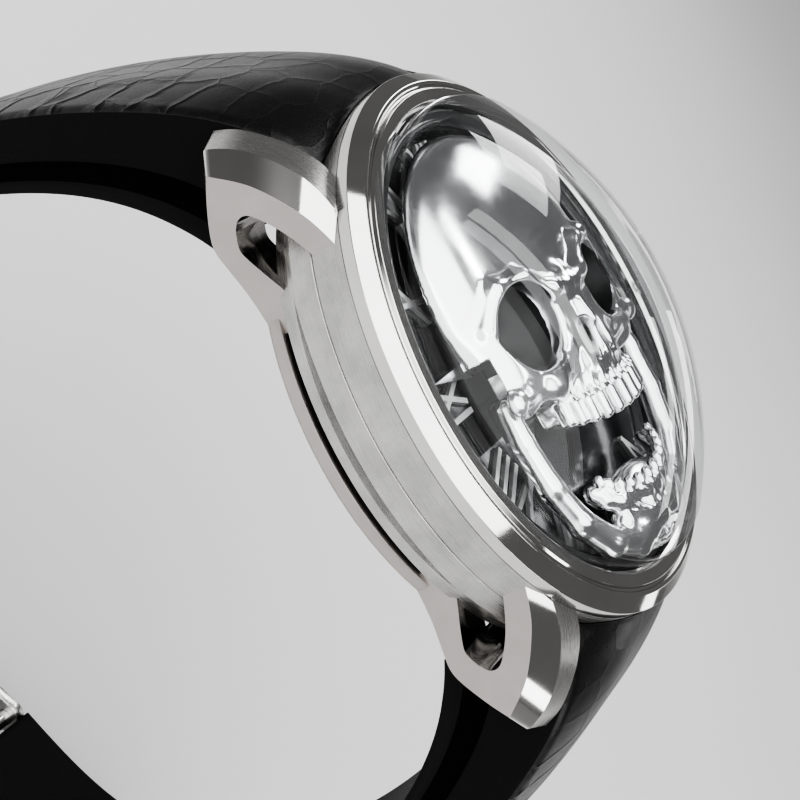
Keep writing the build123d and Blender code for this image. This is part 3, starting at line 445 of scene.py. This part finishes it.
def egg(centre, radii, turn=0.0):
    """An ellipsoid; turn is in degrees about Z."""
    c, s = cos(radians(turn)), sin(radians(turn))

    def distance(x, y, z):
        along, across = c * x + s * y, c * y - s * x
        shares = (along / radii[0]) ** 2 + (across / radii[1]) ** 2 + (z / radii[2]) ** 2
        slopes = (along / radii[0] ** 2) ** 2 + (across / radii[1] ** 2) ** 2
        slopes = np.sqrt(slopes + (z / radii[2] ** 2) ** 2)
        level = np.sqrt(shares)
        return level * (level - 1) / np.maximum(slopes, 1e-6)

    return centre, max(radii), distance


def limb(start, end, start_r, end_r):
    """A rod with round ends that tapers from one radius to the other."""
    start, end = np.array(start, float), np.array(end, float)
    middle, run = (start + end) / 2, end - start
    length = float(np.linalg.norm(run))

    def distance(x, y, z):
        share = (x * run[0] + y * run[1] + z * run[2]) / length**2 + 0.5
        share = np.clip(share, 0, 1)
        gaps = [value - (share - 0.5) * run[n] for n, value in enumerate((x, y, z))]
        return np.sqrt(gaps[0] ** 2 + gaps[1] ** 2 + gaps[2] ** 2) - start_r - share * (end_r - start_r)

    return middle, length / 2 + max(start_r, end_r), distance


def brick(centre, half, turn=0.0, edge=0.15):
    """A block with round edges; turn is in degrees about Z."""
    c, s = cos(radians(turn)), sin(radians(turn))

    def distance(x, y, z):
        along, across = c * x + s * y, c * y - s * x
        gaps = [np.abs(along) - half[0] + edge, np.abs(across) - half[1] + edge]
        gaps.append(np.abs(z) - half[2] + edge)
        outside = sum(np.maximum(gap, 0) ** 2 for gap in gaps) ** 0.5
        inside = np.minimum(np.maximum(np.maximum(gaps[0], gaps[1]), gaps[2]), 0)
        return outside + inside - edge

    return centre, sqrt(sum(value**2 for value in half)), distance


def make_mesh(name, points, faces, finish, smooth=True):
    """A mesh object from points in millimetres. finish is a material or a list of them."""
    mesh = bpy.data.meshes.new(name)
    mesh.from_pydata((np.asarray(points) * MM).tolist(), [], np.asarray(faces).tolist())
    mesh.validate()
    for material in finish if isinstance(finish, list) else [finish]:
        mesh.materials.append(material)
    mesh.shade_smooth() if smooth else mesh.shade_flat()
    piece = bpy.data.objects.new(name, mesh)
    bpy.context.scene.collection.objects.link(piece)
    return piece


# ---- skull ------------------------------------------------------------------------------------
GRAIN = 0.15   # grid step of the sculpted pieces
SKULL_LOW = low("skull").z
UPPER_ARCH = (6.2, -5.1, 1.2, 11.2, 3.0)   # half width, rear y, depth, rear z and rise of a row
LOWER_ARCH = (6.0, -10.4, 2.2, 11.0, 1.6)
TEETH = 12
SOCKET_X, SOCKET_Y = 6.9, 1.5              # centre of an eye socket
BROW = [(10.8, 2.8, 12.0), (8.6, 4.9, 12.9), (5.6, 4.7, 13.7), (2.8, 2.9, 14.1), (0.8, 2.4, 14.2)]
CHEEK = [(3.0, -1.0, 13.4), (5.2, -2.2, 13.1), (8.0, -2.4, 12.6), (10.6, -2.2, 12.2), (12.0, -2.3, 12.0)]
JAW_RIM = [(11.5, -2.6), (11.8, -5.0), (11.4, -8.7), (10.1, -12.0), (7.5, -14.7), (3.9, -16.2), (0, -16.7)]
JAW_RIM_Z = 10.8


def arch_place(arch, share):
    """A place on a row of teeth: share runs from -1, at its left end, to 1."""
    half_width, rear_y, depth, rear_z, rise = arch
    turn = share * pi / 2
    return half_width * sin(turn), rear_y - depth * cos(turn), rear_z + rise * cos(turn)


def skull_shape():
    """Cranium, brows, cheek bones, nose and upper teeth, with room for the jaw to slide."""
    clay = Clay((-13.6, -10.6, SKULL_LOW - 0.4), (13.6, 17.0, 16.4), GRAIN)
    clay.add(egg((0, 4.6, 9.9), (12.9, 11.7, 4.0)))
    clay.add(egg((0, 0.0, 10.2), (8.6, 6.8, 3.9)), 1.5)
    for side in (-1, 1):
        clay.add(egg((side * 9.0, -0.6, 10.3), (3.7, 4.4, 2.7)), 1.6)
    clay.add(egg((0, -3.6, 10.6), (5.7, 2.9, 3.9)), 1.0)
    clay.add(limb((0, 3.2, 13.5), (0, -0.6, 14.3), 0.95, 0.6), 0.9)
    for side in (-1, 1):
        clay.chain(BROW, side, 0.62, 0.66, 0.8)
        clay.chain(CHEEK, side, 0.72, 0.68, 0.5)
        clay.add(egg((side * 6.3, -2.9, 12.6), (2.6, 1.4, 1.3)), 0.7)
        clay.cut(egg((side * SOCKET_X, SOCKET_Y, 13.4), (3.6, 3.15, 2.6)), 0.45)
        clay.cut(limb((side * 7.6, 1.5, 12.6), (side * 7.1, 1.4, 11.9), 2.1, 1.9), 0.3)
        clay.cut(egg((side * 8.4, -4.9, 11.0), (2.3, 1.6, 2.3)), 0.5)
        clay.cut(egg((side * 5.3, -4.1, 13.9), (1.3, 0.9, 1.0), side * 20), 0.7)
        clay.add(limb((side * 2.4, 0.4, 13.6), (side * 2.5, -3.0, 13.5), 0.42, 0.5), 0.5)
        clay.cut(egg((side * 1.15, -1.7, 14.4), (0.85, 1.6, 2.4), side * 10), 0.25)
        clay.add(egg((side * 12.1, -2.4, 11.95), (0.95, 1.0, 0.85)), 0.2)
    clay.add(limb((0, -0.6, 14.2), (0, -3.4, 14.2), 0.28, 0.36), 0.3)
    for number in range(TEETH):
        share = (number + 0.5) / TEETH * 2 - 1
        x, y, z = arch_place(UPPER_ARCH, share * 0.93)
        half_length = 0.95 + 0.2 * cos(share * pi / 2)
        clay.add(brick((x, y, z), (0.54, half_length, 0.54), share * 8, 0.38), 0.06)
        root = (x * 0.88, y + 2.6, z - 0.1)
        clay.add(limb((x, y + 0.7, z), root, 0.34, 0.2), 0.3)
    for side in (-1, 1):
        clay.cut(brick((side * 15.3, -9.5, 10.55), (5.0, 10.7, 1.25), 0, 0.1))
    clay.trim(SKULL_LOW)
    return clay


def jaw_shape():
    """Lower jaw: a rim that thickens to the chin, gums and the lower teeth."""
    clay = Clay((-13.0, -18.0, 10.0), (13.0, -1.2, 14.2), GRAIN)
    for side in (-1, 1):
        for number, (start, end) in enumerate(zip(JAW_RIM, JAW_RIM[1:])):
            thick = 0.8 + 0.1 * number
            first = (side * start[0], start[1], JAW_RIM_Z)
            second = (side * end[0], end[1], JAW_RIM_Z)
            clay.add(limb(first, second, thick, thick + 0.1), 0.3)
        clay.add(limb((side * 4.9, -14.2, 11.4), (side * 1.2, -15.7, 11.7), 0.9, 1.1), 0.8)
    clay.add(egg((0, -15.3, 11.5), (4.6, 1.7, 1.35)), 0.9)
    clay.add(egg((0, -13.5, 10.9), (4.9, 2.0, 1.5)), 0.7)
    steps = 10
    for number in range(steps):
        start = arch_place(LOWER_ARCH, number / steps * 2 - 1)
        end = arch_place(LOWER_ARCH, (number + 1) / steps * 2 - 1)
        first = (start[0], start[1] - 1.0, start[2] - 0.3)
        second = (end[0], end[1] - 1.0, end[2] - 0.3)
        clay.add(limb(first, second, 0.75, 0.75), 0.5)
    for number in range(TEETH):
        share = (number + 0.5) / TEETH * 2 - 1
        x, y, z = arch_place(LOWER_ARCH, share * 0.95)
        clay.add(egg((x, y, z + 0.25), (0.43, 0.62, 0.45)), 0.1)
        clay.add(limb((x, y - 0.6, z + 0.15), (x * 0.85, y - 2.1, z + 0.1), 0.33, 0.24), 0.25)
    for side in (-1, 1):
        clay.cut(egg((side * 3.2, -13.6, 13.1), (1.3, 0.6, 0.8), side * 25), 0.5)
    clay.cut(egg((0, -16.9, 12.2), (2.6, 0.6, 1.2)), 0.3)
    clay.trim(low("jaw").z)
    return clay


def paint_shade_in_hollows(skull):
    """Paints shade into the depths of the eye sockets and the nose: their faces get the dark, matt mount
    material as painted shade.
    """
    for face in skull.data.polygons:
        x, y, z = face.center / MM
        across, along = (abs(x) - SOCKET_X) / 3.9, (y - SOCKET_Y) / 3.3
        in_socket = across**2 + along**2 < 1 and z < 12.8
        in_nose = abs(x) < 2.2 and -3.8 < y < 0.2 and z < 13.1
        if in_socket or in_nose:
            # painted shade: faces deep in a socket or in the nose take the dark second material
            face.material_index = 1


def head():
    """The skull, fixed in the case, and the jaw that slides."""
    # the second material is painted shade for the eye sockets and the nose hollows
    skull = skull_shape().skin("skull_cast", [FINISH["skull_silver"], FINISH["skull_mount"]])
    paint_shade_in_hollows(skull)
    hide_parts("skull")
    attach(skull, "case")
    jaw = jaw_shape().skin("jaw_cast", FINISH["skull_silver"])
    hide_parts("jaw")
    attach(jaw, "jaw")


head()


# ---- turned pieces ----------------------------------------------------------------------------
def rounded(outline, edge):
    """Replaces each corner of a closed (radius, z) outline by three points on a small curve."""
    done = []
    count = len(outline)
    for number in range(count):
        before, here, after = (np.array(outline[(number + n) % count], float) for n in (-1, 0, 1))
        back, ahead = before - here, after - here
        reach = min(edge, np.linalg.norm(back) * 0.4, np.linalg.norm(ahead) * 0.4)
        first = here + back / np.linalg.norm(back) * reach
        last = here + ahead / np.linalg.norm(ahead) * reach
        done += [tuple(first), tuple(first * 0.25 + here * 0.5 + last * 0.25), tuple(last)]
    return done


def lathe(name, outline, finish, around=192, edge=0.05):
    """Turns a closed (radius, z) outline about Z, with rounded corners."""
    outline = rounded(outline, edge) if edge else outline
    points, faces = [], []
    deep = len(outline)
    for number in range(around):
        angle = 2 * pi * number / around
        points += [(radius * cos(angle), radius * sin(angle), z) for radius, z in outline]
        follow = (number + 1) % around
        for step in range(deep):
            after = (step + 1) % deep
            faces.append(
                (number * deep + step, follow * deep + step, follow * deep + after, number * deep + after)
            )
    piece = make_mesh(name, points, faces, finish)
    piece.modifiers.new("even_normals", "WEIGHTED_NORMAL").keep_sharp = True
    return piece


def crystal():
    """Upright wall under a spherical dome, hollow inside, with polished edges."""
    thick, wall_top = 1.4, 12.64
    chamfer = 0.012 * CRYSTAL_R
    rise = CRYSTAL_TOP - wall_top
    outer = (CRYSTAL_R**2 + rise**2) / (2 * rise)
    centre = CRYSTAL_TOP - outer
    base = low("crystal").z
    inner_r, inner = CRYSTAL_R - thick, outer - thick
    points = [(CRYSTAL_R, base), (CRYSTAL_R, wall_top - 0.3)]
    steps = 24
    for number in range(steps + 1):
        radius = (CRYSTAL_R - chamfer) * cos(pi / 2 * number / steps)
        points.append((max(radius, 0.01), centre + sqrt(outer**2 - radius**2)))
    for number in range(steps, -1, -1):
        radius = inner_r * cos(pi / 2 * number / steps)
        points.append((max(radius, 0.01), centre + sqrt(inner**2 - radius**2)))
    points.append((inner_r, base))
    piece = lathe("crystal_dome", points, FINISH["crystal_clear"], edge=0.0)
    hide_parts("crystal")
    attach(piece, "case")


def bezel():
    """Polished ring with a sloping flank, a fine groove and a raised lip round the crystal."""
    base = low("bezel").z
    outline = [
        (17.3, base), (CASE_R, base), (CASE_R, 9.95), (20.5, 10.77), (20.2, 10.77), (20.1, 10.62),
        (19.9, 10.62), (19.8, 10.95), (18.9, BEZEL_TOP), (CRYSTAL_R + 0.02, 10.75),
        (CRYSTAL_R + 0.02, 9.7), (17.3, 9.7),
    ]
    piece = lathe("bezel_ring", outline, FINISH["polished_steel"], edge=0.05)
    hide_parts("bezel")
    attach(piece, "case")


crystal()
bezel()


# ---- lugs -------------------------------------------------------------------------------------
def lug_grain(s):
    return s.stretched(0.03, 2.0, 2.0)


LUG_BRUSHED = brushed("lug_brushed", STEEL, STEEL_DARK, 0.26, lug_grain)
LUG_MATT = blasted("lug_matt", (0.52, 0.49, 0.475), (0.42, 0.395, 0.38), 0.34)
BRUSHED, MATT, POLISHED = 0, 1, 2          # the order of a lug's materials
LUG_IN_X, LUG_EDGE_X, LUG_OUT_X = 12.94, 15.6, 17.05
RIDGE_LIFT = 0.35
LUG_CREASE = radians(28)
RAIL = [(17.5, 0.5), (19.7, 0.7), (20.05, 1.0), (20.05, 1.95), (17.5, 1.95)]
OUTER_TOP = [(12.0, 8.9), (15.1, 7.9), (16.9, 6.8), (18.4, 5.7), (19.6, 4.6), (21.2, 2.4)]
INNER_TOP = [(16.0, 9.0), (18.2, 8.5), (20.3, 7.1), (21.9, 5.5), (23.2, 3.9), (23.9, 2.2)]
OUTER_FOOT = [(21.2, 2.4), (19.7, 1.4), (17.6, 0.3), (16.5, 0.02), (15.1, 0.3), (12.6, 0.8), (9.0, 1.0)]
INNER_FOOT = [(23.9, 2.2), (22.2, 1.3), (19.6, 0.4), (17.6, 0.1), (16.0, 0.3), (13.6, 0.8), (10.0, 1.0)]
WINDOW_ROOF = [(12.0, 7.2), (14.8, 5.9), (16.2, 5.0), (17.4, 4.0), (17.7, 3.4), (17.6, 2.8), (17.0, 2.3)]
WINDOW_SILL = [(17.0, 2.3), (16.0, 1.85), (15.3, 1.9), (12.0, 3.4)]


def softened(corners, rounds=3):
    """Cuts the corners of an open line again and again, and keeps its two ends."""
    line = np.array(corners, float)
    for _ in range(rounds):
        near = line[:-1] * 0.75 + line[1:] * 0.25
        far = line[:-1] * 0.25 + line[1:] * 0.75
        line = np.concatenate([line[:1], np.stack([near, far], 1).reshape(-1, 2), line[-1:]])
    return line


def lug_mesh(bm, side, end):
    """Adds one open lug: three sections along X, a window through them, and two flat sides."""
    sections = []
    for x, share, lift in ((LUG_IN_X, 0, 0), (LUG_EDGE_X, 0.4, RIDGE_LIFT), (LUG_OUT_X, 1, 0)):
        top = softened(OUTER_TOP) * share + softened(INNER_TOP) * (1 - share)
        raised = np.sin(np.linspace(0, pi, len(top)))[:, None] ** 0.5 * lift
        top = top + raised * np.array([0.6, 1.0])
        foot = softened(OUTER_FOOT) * share + softened(INNER_FOOT) * (1 - share)
        sections.append((x, np.concatenate([top, foot[1:]]), len(top)))
    window = np.concatenate([softened(WINDOW_ROOF), softened(WINDOW_SILL)[1:]])

    def ring(x, outline):
        placed = []
        for y, z in outline:
            inside = RAIL[0][0] + 0.05
            y = max(y, sqrt(max(inside**2 - x**2, 0)))
            placed.append(bm.verts.new((side * x * MM, end * y * MM, z * MM)))
        return placed

    def wall(first, second, finishes):
        for number in range(len(first)):
            after = (number + 1) % len(first)
            face = bm.faces.new((first[number], first[after], second[after], second[number]))
            face.material_index = finishes(number)

    rings = [ring(x, outline) for x, outline, _ in sections]
    top_count = sections[0][2] - 1
    wall(rings[0], rings[1], lambda n: BRUSHED)
    wall(rings[1], rings[2], lambda n: POLISHED if n < top_count else BRUSHED)
    openings = [ring(x, window) for x in (LUG_IN_X, LUG_OUT_X)]
    wall(openings[1], openings[0], lambda n: POLISHED)
    for loop, opening in ((rings[0], openings[0]), (rings[2], openings[1])):
        edges = []
        for line in (loop, opening):
            for number, corner in enumerate(line):
                pair = (corner, line[(number + 1) % len(line)])
                edges.append(bm.edges.get(pair))
        filled = bmesh.ops.triangle_fill(bm, use_beauty=True, edges=edges)
        for face in filled["geom"]:
            if isinstance(face, bmesh.types.BMFace):
                face.material_index = MATT


def rail_mesh(bm, side):
    """Adds the curved rail that joins the two lugs along the back of the case."""
    outline = rounded(RAIL, 0.08)
    steps, reach = 48, asin(14.2 / RAIL[2][0])
    rings = []
    for number in range(steps + 1):
        angle = reach * (2 * number / steps - 1)
        line = [(side * r * cos(angle) * MM, r * sin(angle) * MM, z * MM) for r, z in outline]
        rings.append([bm.verts.new(place) for place in line])
    for first, second in zip(rings, rings[1:]):
        for number in range(len(outline)):
            after = (number + 1) % len(outline)
            face = bm.faces.new((first[number], first[after], second[after], second[number]))
            face.material_index = MATT


def lug_frame(side, word):
    """Two lugs and their rail on one side of the case, as one piece."""
    bm = bmesh.new()
    for end in (-1, 1):
        lug_mesh(bm, side, end)
    rail_mesh(bm, side)
    bmesh.ops.remove_doubles(bm, verts=bm.verts, dist=1e-7)
    bmesh.ops.recalc_face_normals(bm, faces=bm.faces)
    name = "lug_loops_" + word
    mesh = bpy.data.meshes.new(name)
    bm.to_mesh(mesh)
    bm.free()
    for material in (LUG_BRUSHED, LUG_MATT, FINISH["polished_steel"]):
        mesh.materials.append(material)
    mesh.shade_smooth()
    mesh.set_sharp_from_angle(angle=LUG_CREASE)
    piece = bpy.data.objects.new(name, mesh)
    bpy.context.scene.collection.objects.link(piece)
    bevel = piece.modifiers.new("soft_edges", "BEVEL")
    bevel.width = EDGE * MM
    bevel.segments = 2
    bevel.angle_limit = LUG_CREASE
    bevel.harden_normals = True
    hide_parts("lug_frame_" + word)
    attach(piece, "case")


lug_frame(-1, "left")
lug_frame(1, "right")


# ---- strap ------------------------------------------------------------------------------------
def smooth_line(points, count):
    """Places evenly spaced along a natural cubic spline through the given points."""
    points = np.array(points, float)
    chord = np.concatenate([[0], np.cumsum(np.linalg.norm(np.diff(points, axis=0), axis=1))])
    system, right = np.eye(len(points)), np.zeros_like(points)
    for n in range(1, len(points) - 1):
        before, after = chord[n] - chord[n - 1], chord[n + 1] - chord[n]
        system[n, n - 1 : n + 2] = before, 2 * (before + after), after
        right[n] = 6 * ((points[n + 1] - points[n]) / after - (points[n] - points[n - 1]) / before)
    bend = np.linalg.solve(system, right)
    dense = np.linspace(0, chord[-1], 40 * len(points))
    n = np.clip(np.searchsorted(chord, dense, side="right") - 1, 0, len(points) - 2)
    width = (chord[n + 1] - chord[n])[:, None]
    t = (dense - chord[n])[:, None] / width
    line = points[n] * (1 - t) + points[n + 1] * t
    line += width**2 / 6 * ((t**3 - t) * bend[n + 1] + ((1 - t) ** 3 - (1 - t)) * bend[n])
    length = np.concatenate([[0], np.cumsum(np.linalg.norm(np.diff(line, axis=0), axis=1))])
    even = np.linspace(0, length[-1], count)
    return np.stack([np.interp(even, length, line[:, k]) for k in range(2)], axis=1), length[-1]


OUTER_START = [(16.0, 9.0), (20.4, 8.4), (24.4, 5.2), (28.6, -1.2), (31.6, -7.4)]
INNER_START = [(12.6, -1.3), (17.0, -3.2), (21.2, -6.4), (25.0, -11.2)]
LOOP = {
    "12": (
        OUTER_START + [
            (35.2, -17.4), (37.1, -26.0), (37.7, -36.0), (36.8, -46.0),
            (33.6, -54.8), (30.2, -61.4), (25.0, -66.4),
        ],
        INNER_START + [
            (29.2, -20.0), (31.6, -28.0), (32.4, -37.0), (31.6, -45.2),
            (29.2, -52.4), (26.9, -58.2), (23.7, -62.6),
        ],
    ),
    "6": (
        OUTER_START + [
            (35.0, -17.4), (37.0, -27.0), (37.8, -37.5), (36.2, -48.0),
            (31.8, -56.2), (24.9, -61.4), (13.1, -65.2),
        ],
        INNER_START + [
            (29.0, -19.0), (31.8, -28.0), (32.6, -37.5), (31.2, -46.5),
            (28.0, -53.0), (22.6, -57.4), (11.9, -61.3),
        ],
    ),
}
STATIONS = 150
TOP_SAMPLES = 34
TOP, SIDE, CORE, LINING = 0, 1, 2, 3       # the order of the strap's materials
SIDE_STEPS = (   # depth through the strap's side, inset from its edge in millimetres, material
    (0.06, 0.03, SIDE), (0.16, 0.0, SIDE), (0.30, 0.0, SIDE), (0.44, 0.0, SIDE), (0.58, 0.03, SIDE),
    (0.61, 0.2, CORE), (0.64, 0.2, CORE), (0.67, 0.08, CORE), (0.80, 0.08, CORE), (0.83, 0.24, CORE),
    (0.86, 0.24, LINING), (0.88, 0.12, LINING), (0.95, 0.14, LINING), (0.985, 0.3, LINING),
)
EDGE_ROLL = 0.35           # how far the top leather turns down at the very edge
STRAP_END_HALF = 9.4
CASE_REACH_Z = -14.0       # the strap is clear of the case below this height
RAIL_CLEAR_Z, RAIL_CLEAR_R = 2.2, 20.75


def strap_half(z):
    """Half the strap's width at a height."""
    return float(np.interp(z, (-50, -20, 0), (STRAP_END_HALF, 11.2, STRAP_HALF)))


def strap_section(thickness, half, fall):
    """A section as (x, depth): over the crowned top, down a side, along the lining and up again."""
    spread = np.sin(np.linspace(-pi / 2, pi / 2, TOP_SAMPLES))
    section = []
    for x in spread:
        crown = fall * max(0.0, (abs(x) - 0.30) / 0.70) ** 1.9
        roll = EDGE_ROLL * max(0.0, (abs(x) - 0.955) / 0.045) ** 2
        section.append((x * (half - 0.05), (crown + roll) / thickness))
    start = (fall + EDGE_ROLL) / thickness
    side = [(half - inset, start + (1 - start) * depth) for depth, inset, _ in SIDE_STEPS]
    section += side
    section += [(x * (half - 0.5), 1.0) for x in spread[::-1]]
    section += [(-x, depth) for x, depth in side[::-1]]
    return section


def off_the_case(x, y, z):
    """Moves a place on the strap out of the case and the lug rail, and under the bezel."""
    if z > CASE_REACH_Z:
        clear = CASE_R + 0.06 if z > RAIL_CLEAR_Z else RAIL_CLEAR_R
        y = max(y, sqrt(max(clear**2 - x**2, 0)))
    return x, y, min(z, BAND_TOP + 0.1)


def strap_mesh(name, end, sign):
    """The mesh of one strap half, with a flat chart of the leather in millimetres."""
    outer, length = smooth_line(LOOP[end][0], STATIONS)
    inner, _ = smooth_line(LOOP[end][1], STATIONS)
    side = [material for _, _, material in SIDE_STEPS]
    around = [TOP] * TOP_SAMPLES + side + [LINING] * TOP_SAMPLES + side[::-1]
    ring = len(around)
    points, faces, finishes, charts = [], [], [], []
    for number, (top, under) in enumerate(zip(outer, inner)):
        share = number / (STATIONS - 1)
        thick = top - under
        half = strap_half((top[1] + under[1]) / 2)
        fall = 1.9 - min(share * 2.2, 1.0)
        for place, depth in strap_section(np.linalg.norm(thick), half, fall):
            x, y, z = off_the_case(place, *(top - depth * thick))
            points.append((x, sign * y, z))
            charts.append((x, share * length))
    for number in range(1, STATIONS):
        for step in range(ring):
            after = (step + 1) % ring
            quad = [(number - 1) * ring + step, (number - 1) * ring + after]
            quad += [number * ring + after, number * ring + step]
            faces.append(quad[::-sign])
        finishes += around
    for number in (0, STATIONS - 1):
        cap = [number * ring + step for step in range(ring)]
        faces.append(cap if (number == 0) != (sign > 0) else cap[::-1])
        finishes.append(LINING)
    mesh = bpy.data.meshes.new(name)
    mesh.from_pydata((np.array(points) * MM).tolist(), [], faces)
    chart = mesh.uv_layers.new(name="chart")
    corners = np.array([charts[loop.vertex_index] for loop in mesh.loops])
    chart.data.foreach_set("uv", corners.ravel())
    mesh.polygons.foreach_set("material_index", finishes)
    mesh.shade_smooth()
    return mesh


def strap(end, sign):
    """One strap half: crowned scaly leather over a side of three layers and a plain lining."""
    name = "strap_leather_" + end
    mesh = strap_mesh(name, end, sign)
    for material in (LEATHER_TOP, LEATHER_SIDE, LEATHER_CORE, LEATHER_LINING):
        mesh.materials.append(material)
    piece = bpy.data.objects.new(name, mesh)
    bpy.context.scene.collection.objects.link(piece)
    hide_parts("strap_" + end, "strap_" + end + "_end", "strap_" + end + "_lining")
    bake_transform(piece)


def leather(name, light, dark, rough, scales=0.0, grain=0.012, shine=0.15):
    """Black leather. scales is the depth of its alligator scales in millimetres."""
    s = Shader(name)
    pores = s.noise(s.stretched(0.12, 0.12, 0.12), detail=4.0)
    height = s.maths("MULTIPLY", pores, grain)
    if scales:
        chart = s.add("UVMap", {"uv_map": "chart"}).outputs[0]
        wander = s.add("TexNoise", Vector=chart, Scale=0.35).outputs[1]
        moved = s.add("VectorMath", {"operation": "MULTIPLY_ADD"}, i0=wander, i1=(2.2, 1.6, 0), i2=chart)
        sized = s.add("Mapping", Vector=moved.outputs[0], Scale=(0.21, 0.30, 1.0)).outputs[0]
        cracks = s.add(
            "TexVoronoi", {"feature": "DISTANCE_TO_EDGE"}, Vector=sized, Scale=1.0, Randomness=0.55
        )
        mounds = s.spread(cracks.outputs[0], 0.0, 1.0, 0.0, 0.16)
        along = s.add("SeparateXYZ", Vector=chart).outputs[1]
        fading = s.spread(along, 0.15, 1.0, 12.0, 26.0)
        mounds = s.maths("MULTIPLY", s.maths("POWER", mounds, 0.5), fading)
        height = s.maths("ADD", height, s.maths("MULTIPLY", mounds, scales))
    s.surface(
        Base_Color=s.tint(pores, dark, light),
        Roughness=s.spread(pores, rough * 0.8, rough * 1.2),
        Normal=s.bump(height, 1.0),
        Specular_IOR_Level=shine,
    )
    return s.material


LEATHER_TOP = leather(
    "leather_scales", (0.007, 0.007, 0.007), (0.003, 0.003, 0.003), 0.32, scales=0.2, shine=0.45
)
LEATHER_SIDE = leather("leather_side", (0.005, 0.005, 0.005), (0.0025, 0.0025, 0.0025), 0.6, grain=0.02)
LEATHER_CORE = leather("leather_core", (0.002, 0.002, 0.002), (0.001, 0.001, 0.001), 0.7, shine=0.05)
LEATHER_LINING = leather("leather_lining", (0.008, 0.008, 0.008), (0.004, 0.004, 0.004), 0.6)
strap("12", 1)
strap("6", -1)


# ---- stage ------------------------------------------------------------------------------------
def stage():
    """A wide pale floor that the strap stands on."""
    reach = 1600 * MM
    mesh = bpy.data.meshes.new("floor")
    corners = [(-reach, -reach), (reach, -reach), (reach, reach), (-reach, reach)]
    z = (FLOOR_Z - 0.05) * MM
    mesh.from_pydata([(x, y, z) for x, y in corners], [], [(0, 1, 2, 3)])
    floor = bpy.data.objects.new("floor", mesh)
    bpy.context.scene.collection.objects.link(floor)
    s = Shader("floor_paper")
    cloud = s.noise(s.stretched(60, 60, 60))
    s.surface(
        Base_Color=s.tint(cloud, (0.62, 0.62, 0.62), (0.66, 0.66, 0.66)), Roughness=0.75
    )
    mesh.materials.append(s.material)


def softbox(name, place, target, width, height, radiance):
    """A rectangular lamp, sizes in millimetres. Its height runs along Y, or along Z if it faces Y."""
    lamp = bpy.data.lights.new(name, "AREA")
    lamp.shape = "RECTANGLE"
    lamp.size, lamp.size_y = width * MM, height * MM
    lamp.energy = radiance * pi * width * height * MM**2
    holder = bpy.data.objects.new(name, lamp)
    back = (Vector(place) - Vector(target)).normalized()
    tall = Vector((0, 1, 0)) if abs(back.y) < 0.8 else Vector((0, 0, 1))
    wide = tall.cross(back).normalized()
    turn = Matrix((wide, back.cross(wide), back)).transposed().to_4x4()
    turn.translation = Vector(place) * MM
    holder.matrix_world = turn
    bpy.context.scene.collection.objects.link(holder)


WALL_BRIGHT, WALL_GREY = 1.5, 0.12         # radiance of the bright wall and of the rest
WALL_EDGE = (-0.80, -0.45)                 # X of the directions where one fades into the other


def studio_walls():
    """The studio round the watch: a bright wall on its 9 o'clock side, grey elsewhere."""
    world = bpy.data.worlds.new("studio")
    bpy.context.scene.world = world
    world.use_nodes = True
    tree = world.node_tree
    place = tree.nodes.new("ShaderNodeTexCoord")
    split = tree.nodes.new("ShaderNodeSeparateXYZ")
    ramp = tree.nodes.new("ShaderNodeMapRange")
    ramp.interpolation_type = "SMOOTHSTEP"
    tree.links.new(place.outputs["Generated"], split.inputs[0])
    tree.links.new(split.outputs[0], ramp.inputs["Value"])
    tree.links.new(ramp.outputs[0], tree.nodes["Background"].inputs[0])
    ramp.inputs["From Min"].default_value = WALL_EDGE[0]
    ramp.inputs["From Max"].default_value = WALL_EDGE[1]
    ramp.inputs["To Min"].default_value = WALL_BRIGHT
    ramp.inputs["To Max"].default_value = WALL_GREY
    tree.nodes["Background"].inputs[1].default_value = 1.0


def lights():
    """Soft boxes over and round the watch, placed by what the polished faces mirror."""
    studio_walls()
    centre = (0, 0, 8)
    softbox("ceiling", (-130, 60, 290), (-130, 60, 0), 420, 560, 2.4)
    softbox("ceiling_strip", (150, 20, 290), (150, 20, 0), 34, 300, 7.0)
    softbox("rim_right", (260, -140, 40), centre, 30, 200, 2.0)
    softbox("front_low", (-90, -300, 30), centre, 160, 50, 3.0)
    softbox("strap_sheen", (300, 110, 130), (0, 20, 0), 130, 70, 5.0)


CAMERA_PLACE = (-128.90, 13.14, 72.11)
CAMERA_AHEAD = Vector((0.8614, -0.0865, -0.5006)).normalized()
CAMERA_UP = Vector((0.3099, 0.8703, 0.3829))
SENSOR, FOCAL_LENGTH = 36.0, 87.64


def camera():
    """The photograph's viewpoint, off the 9 o'clock side, and a contrast like its own."""
    lens = bpy.data.cameras.new("camera")
    lens.sensor_width = SENSOR
    lens.lens = FOCAL_LENGTH
    lens.clip_start = 0.005
    lens.clip_end = 20
    holder = bpy.data.objects.new("camera", lens)
    right = CAMERA_AHEAD.cross(CAMERA_UP).normalized()
    up = right.cross(CAMERA_AHEAD)
    turn = Matrix((right, up, -CAMERA_AHEAD)).transposed().to_4x4()
    turn.translation = Vector(CAMERA_PLACE) * MM
    holder.matrix_world = turn
    bpy.context.scene.collection.objects.link(holder)
    bpy.context.scene.camera = holder
    bpy.context.scene.view_settings.look = "AgX - High Contrast"
    bpy.context.scene.view_settings.exposure = 0.25


stage()
lights()
camera()
